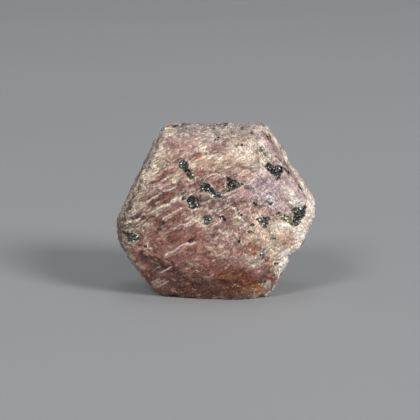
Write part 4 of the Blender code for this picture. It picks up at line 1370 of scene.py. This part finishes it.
def crystal_material(name, repeats, tones, gloss, bump, **settings):
    """Tinted small crystals, a little cloudy in tone, in gloss and in their surface."""
    stone = Shading(name, **settings)
    cloud = stone.noise(repeats)
    tone = stone.ranged(cloud, 0.35, 0.65, *tones)
    stone.set("Base Color", stone.mixed("MULTIPLY", 1.0, stone.attribute("tint", "Color"), tone))
    stone.set("Roughness", stone.ranged(cloud, 0.35, 0.65, *gloss))
    stone.set("Normal", stone.bump(cloud, bump, 0.00006))
    return stone.material


def grain_material():
    return crystal_material("dark_grain", 2400.0, (0.6, 1.6), (0.08, 0.26), 0.35, IOR=1.5)


def pale_material():
    return crystal_material(
        "pale_crystal",
        2600.0,
        (0.78, 1.12),
        (0.22, 0.5),
        0.4,
        IOR=1.6,
        Subsurface_Weight=0.2,
        Subsurface_Radius=(1.0, 0.6, 0.45),
        Subsurface_Scale=0.0006,
    )


def floor_material():
    paint = Shading("floor_paint", Roughness=0.75)
    cloud = paint.ranged(paint.noise(6.0, detail=2.0), 0.3, 0.7, 0.0, 1.0)
    paint.set("Base Color", paint.mixed("MIX", cloud, *FLOOR_TONES))
    return paint.material


def studio_floor():
    """The floor, which curves up into a backdrop."""
    profile = [(FLOOR_FRONT, 0.0), (FLOOR_BEND, 0.0)]
    for i in range(1, CURVE_STEPS + 1):
        turn = math.radians(90.0 * i / CURVE_STEPS)
        height = FLOOR_CURVE - FLOOR_CURVE * math.cos(turn)
        profile.append((FLOOR_BEND + FLOOR_CURVE * math.sin(turn), height))
    profile.append((FLOOR_BEND + FLOOR_CURVE, FLOOR_TOP))
    places = [(x, y, z) for y, z in profile for x in (-FLOOR_HALF, FLOOR_HALF)]
    faces = [(2 * i, 2 * i + 1, 2 * i + 3, 2 * i + 2) for i in range(len(profile) - 1)]
    mesh = bpy.data.meshes.new("studio_floor")
    mesh.from_pydata(places, [], faces)
    mesh.polygons.foreach_set("use_smooth", [True] * len(faces))
    mesh.materials.append(floor_material())
    floor = bpy.data.objects.new("studio_floor", mesh)
    bpy.context.scene.collection.objects.link(floor)


def turned_to(way):
    return Vector(way).to_track_quat("-Z", "Y").to_euler()


def studio_lights():
    for name, (place, power) in LIGHTS.items():
        light = bpy.data.lights.new(name, "AREA")
        light.shape = "DISK"
        light.size = DISC
        light.energy = power
        holder = bpy.data.objects.new(name, light)
        holder.location = place
        holder.rotation_euler = turned_to(CRYSTAL_MIDDLE - Vector(place))
        bpy.context.scene.collection.objects.link(holder)
    world = bpy.data.worlds.new("studio_air")
    world.use_nodes = True
    world.node_tree.nodes["Background"].inputs["Color"].default_value = AIR
    world.node_tree.nodes["Background"].inputs["Strength"].default_value = AIR_STRENGTH
    bpy.context.scene.world = world


def studio_camera():
    lens = bpy.data.cameras.new("camera")
    lens.lens = LENS_MM
    lens.sensor_width = SENSOR_MM
    lens.clip_start = 0.01
    lens.clip_end = 10.0
    camera = bpy.data.objects.new("camera", lens)
    camera.location = Vector(EYE)
    camera.rotation_euler = turned_to(AHEAD)
    bpy.context.scene.collection.objects.link(camera)
    bpy.context.scene.camera = camera
    bpy.context.scene.view_settings.view_transform = "Standard"


studio_floor()
studio_lights()
studio_camera()
surface, surface_tree = ruby_surface(ruby_material())
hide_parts("ruby_crystal")
pale = pale_material()
dark_grains(surface_tree, grain_material())
crust_crystals(surface_tree, pale)
plate_rims(surface_tree, pale)
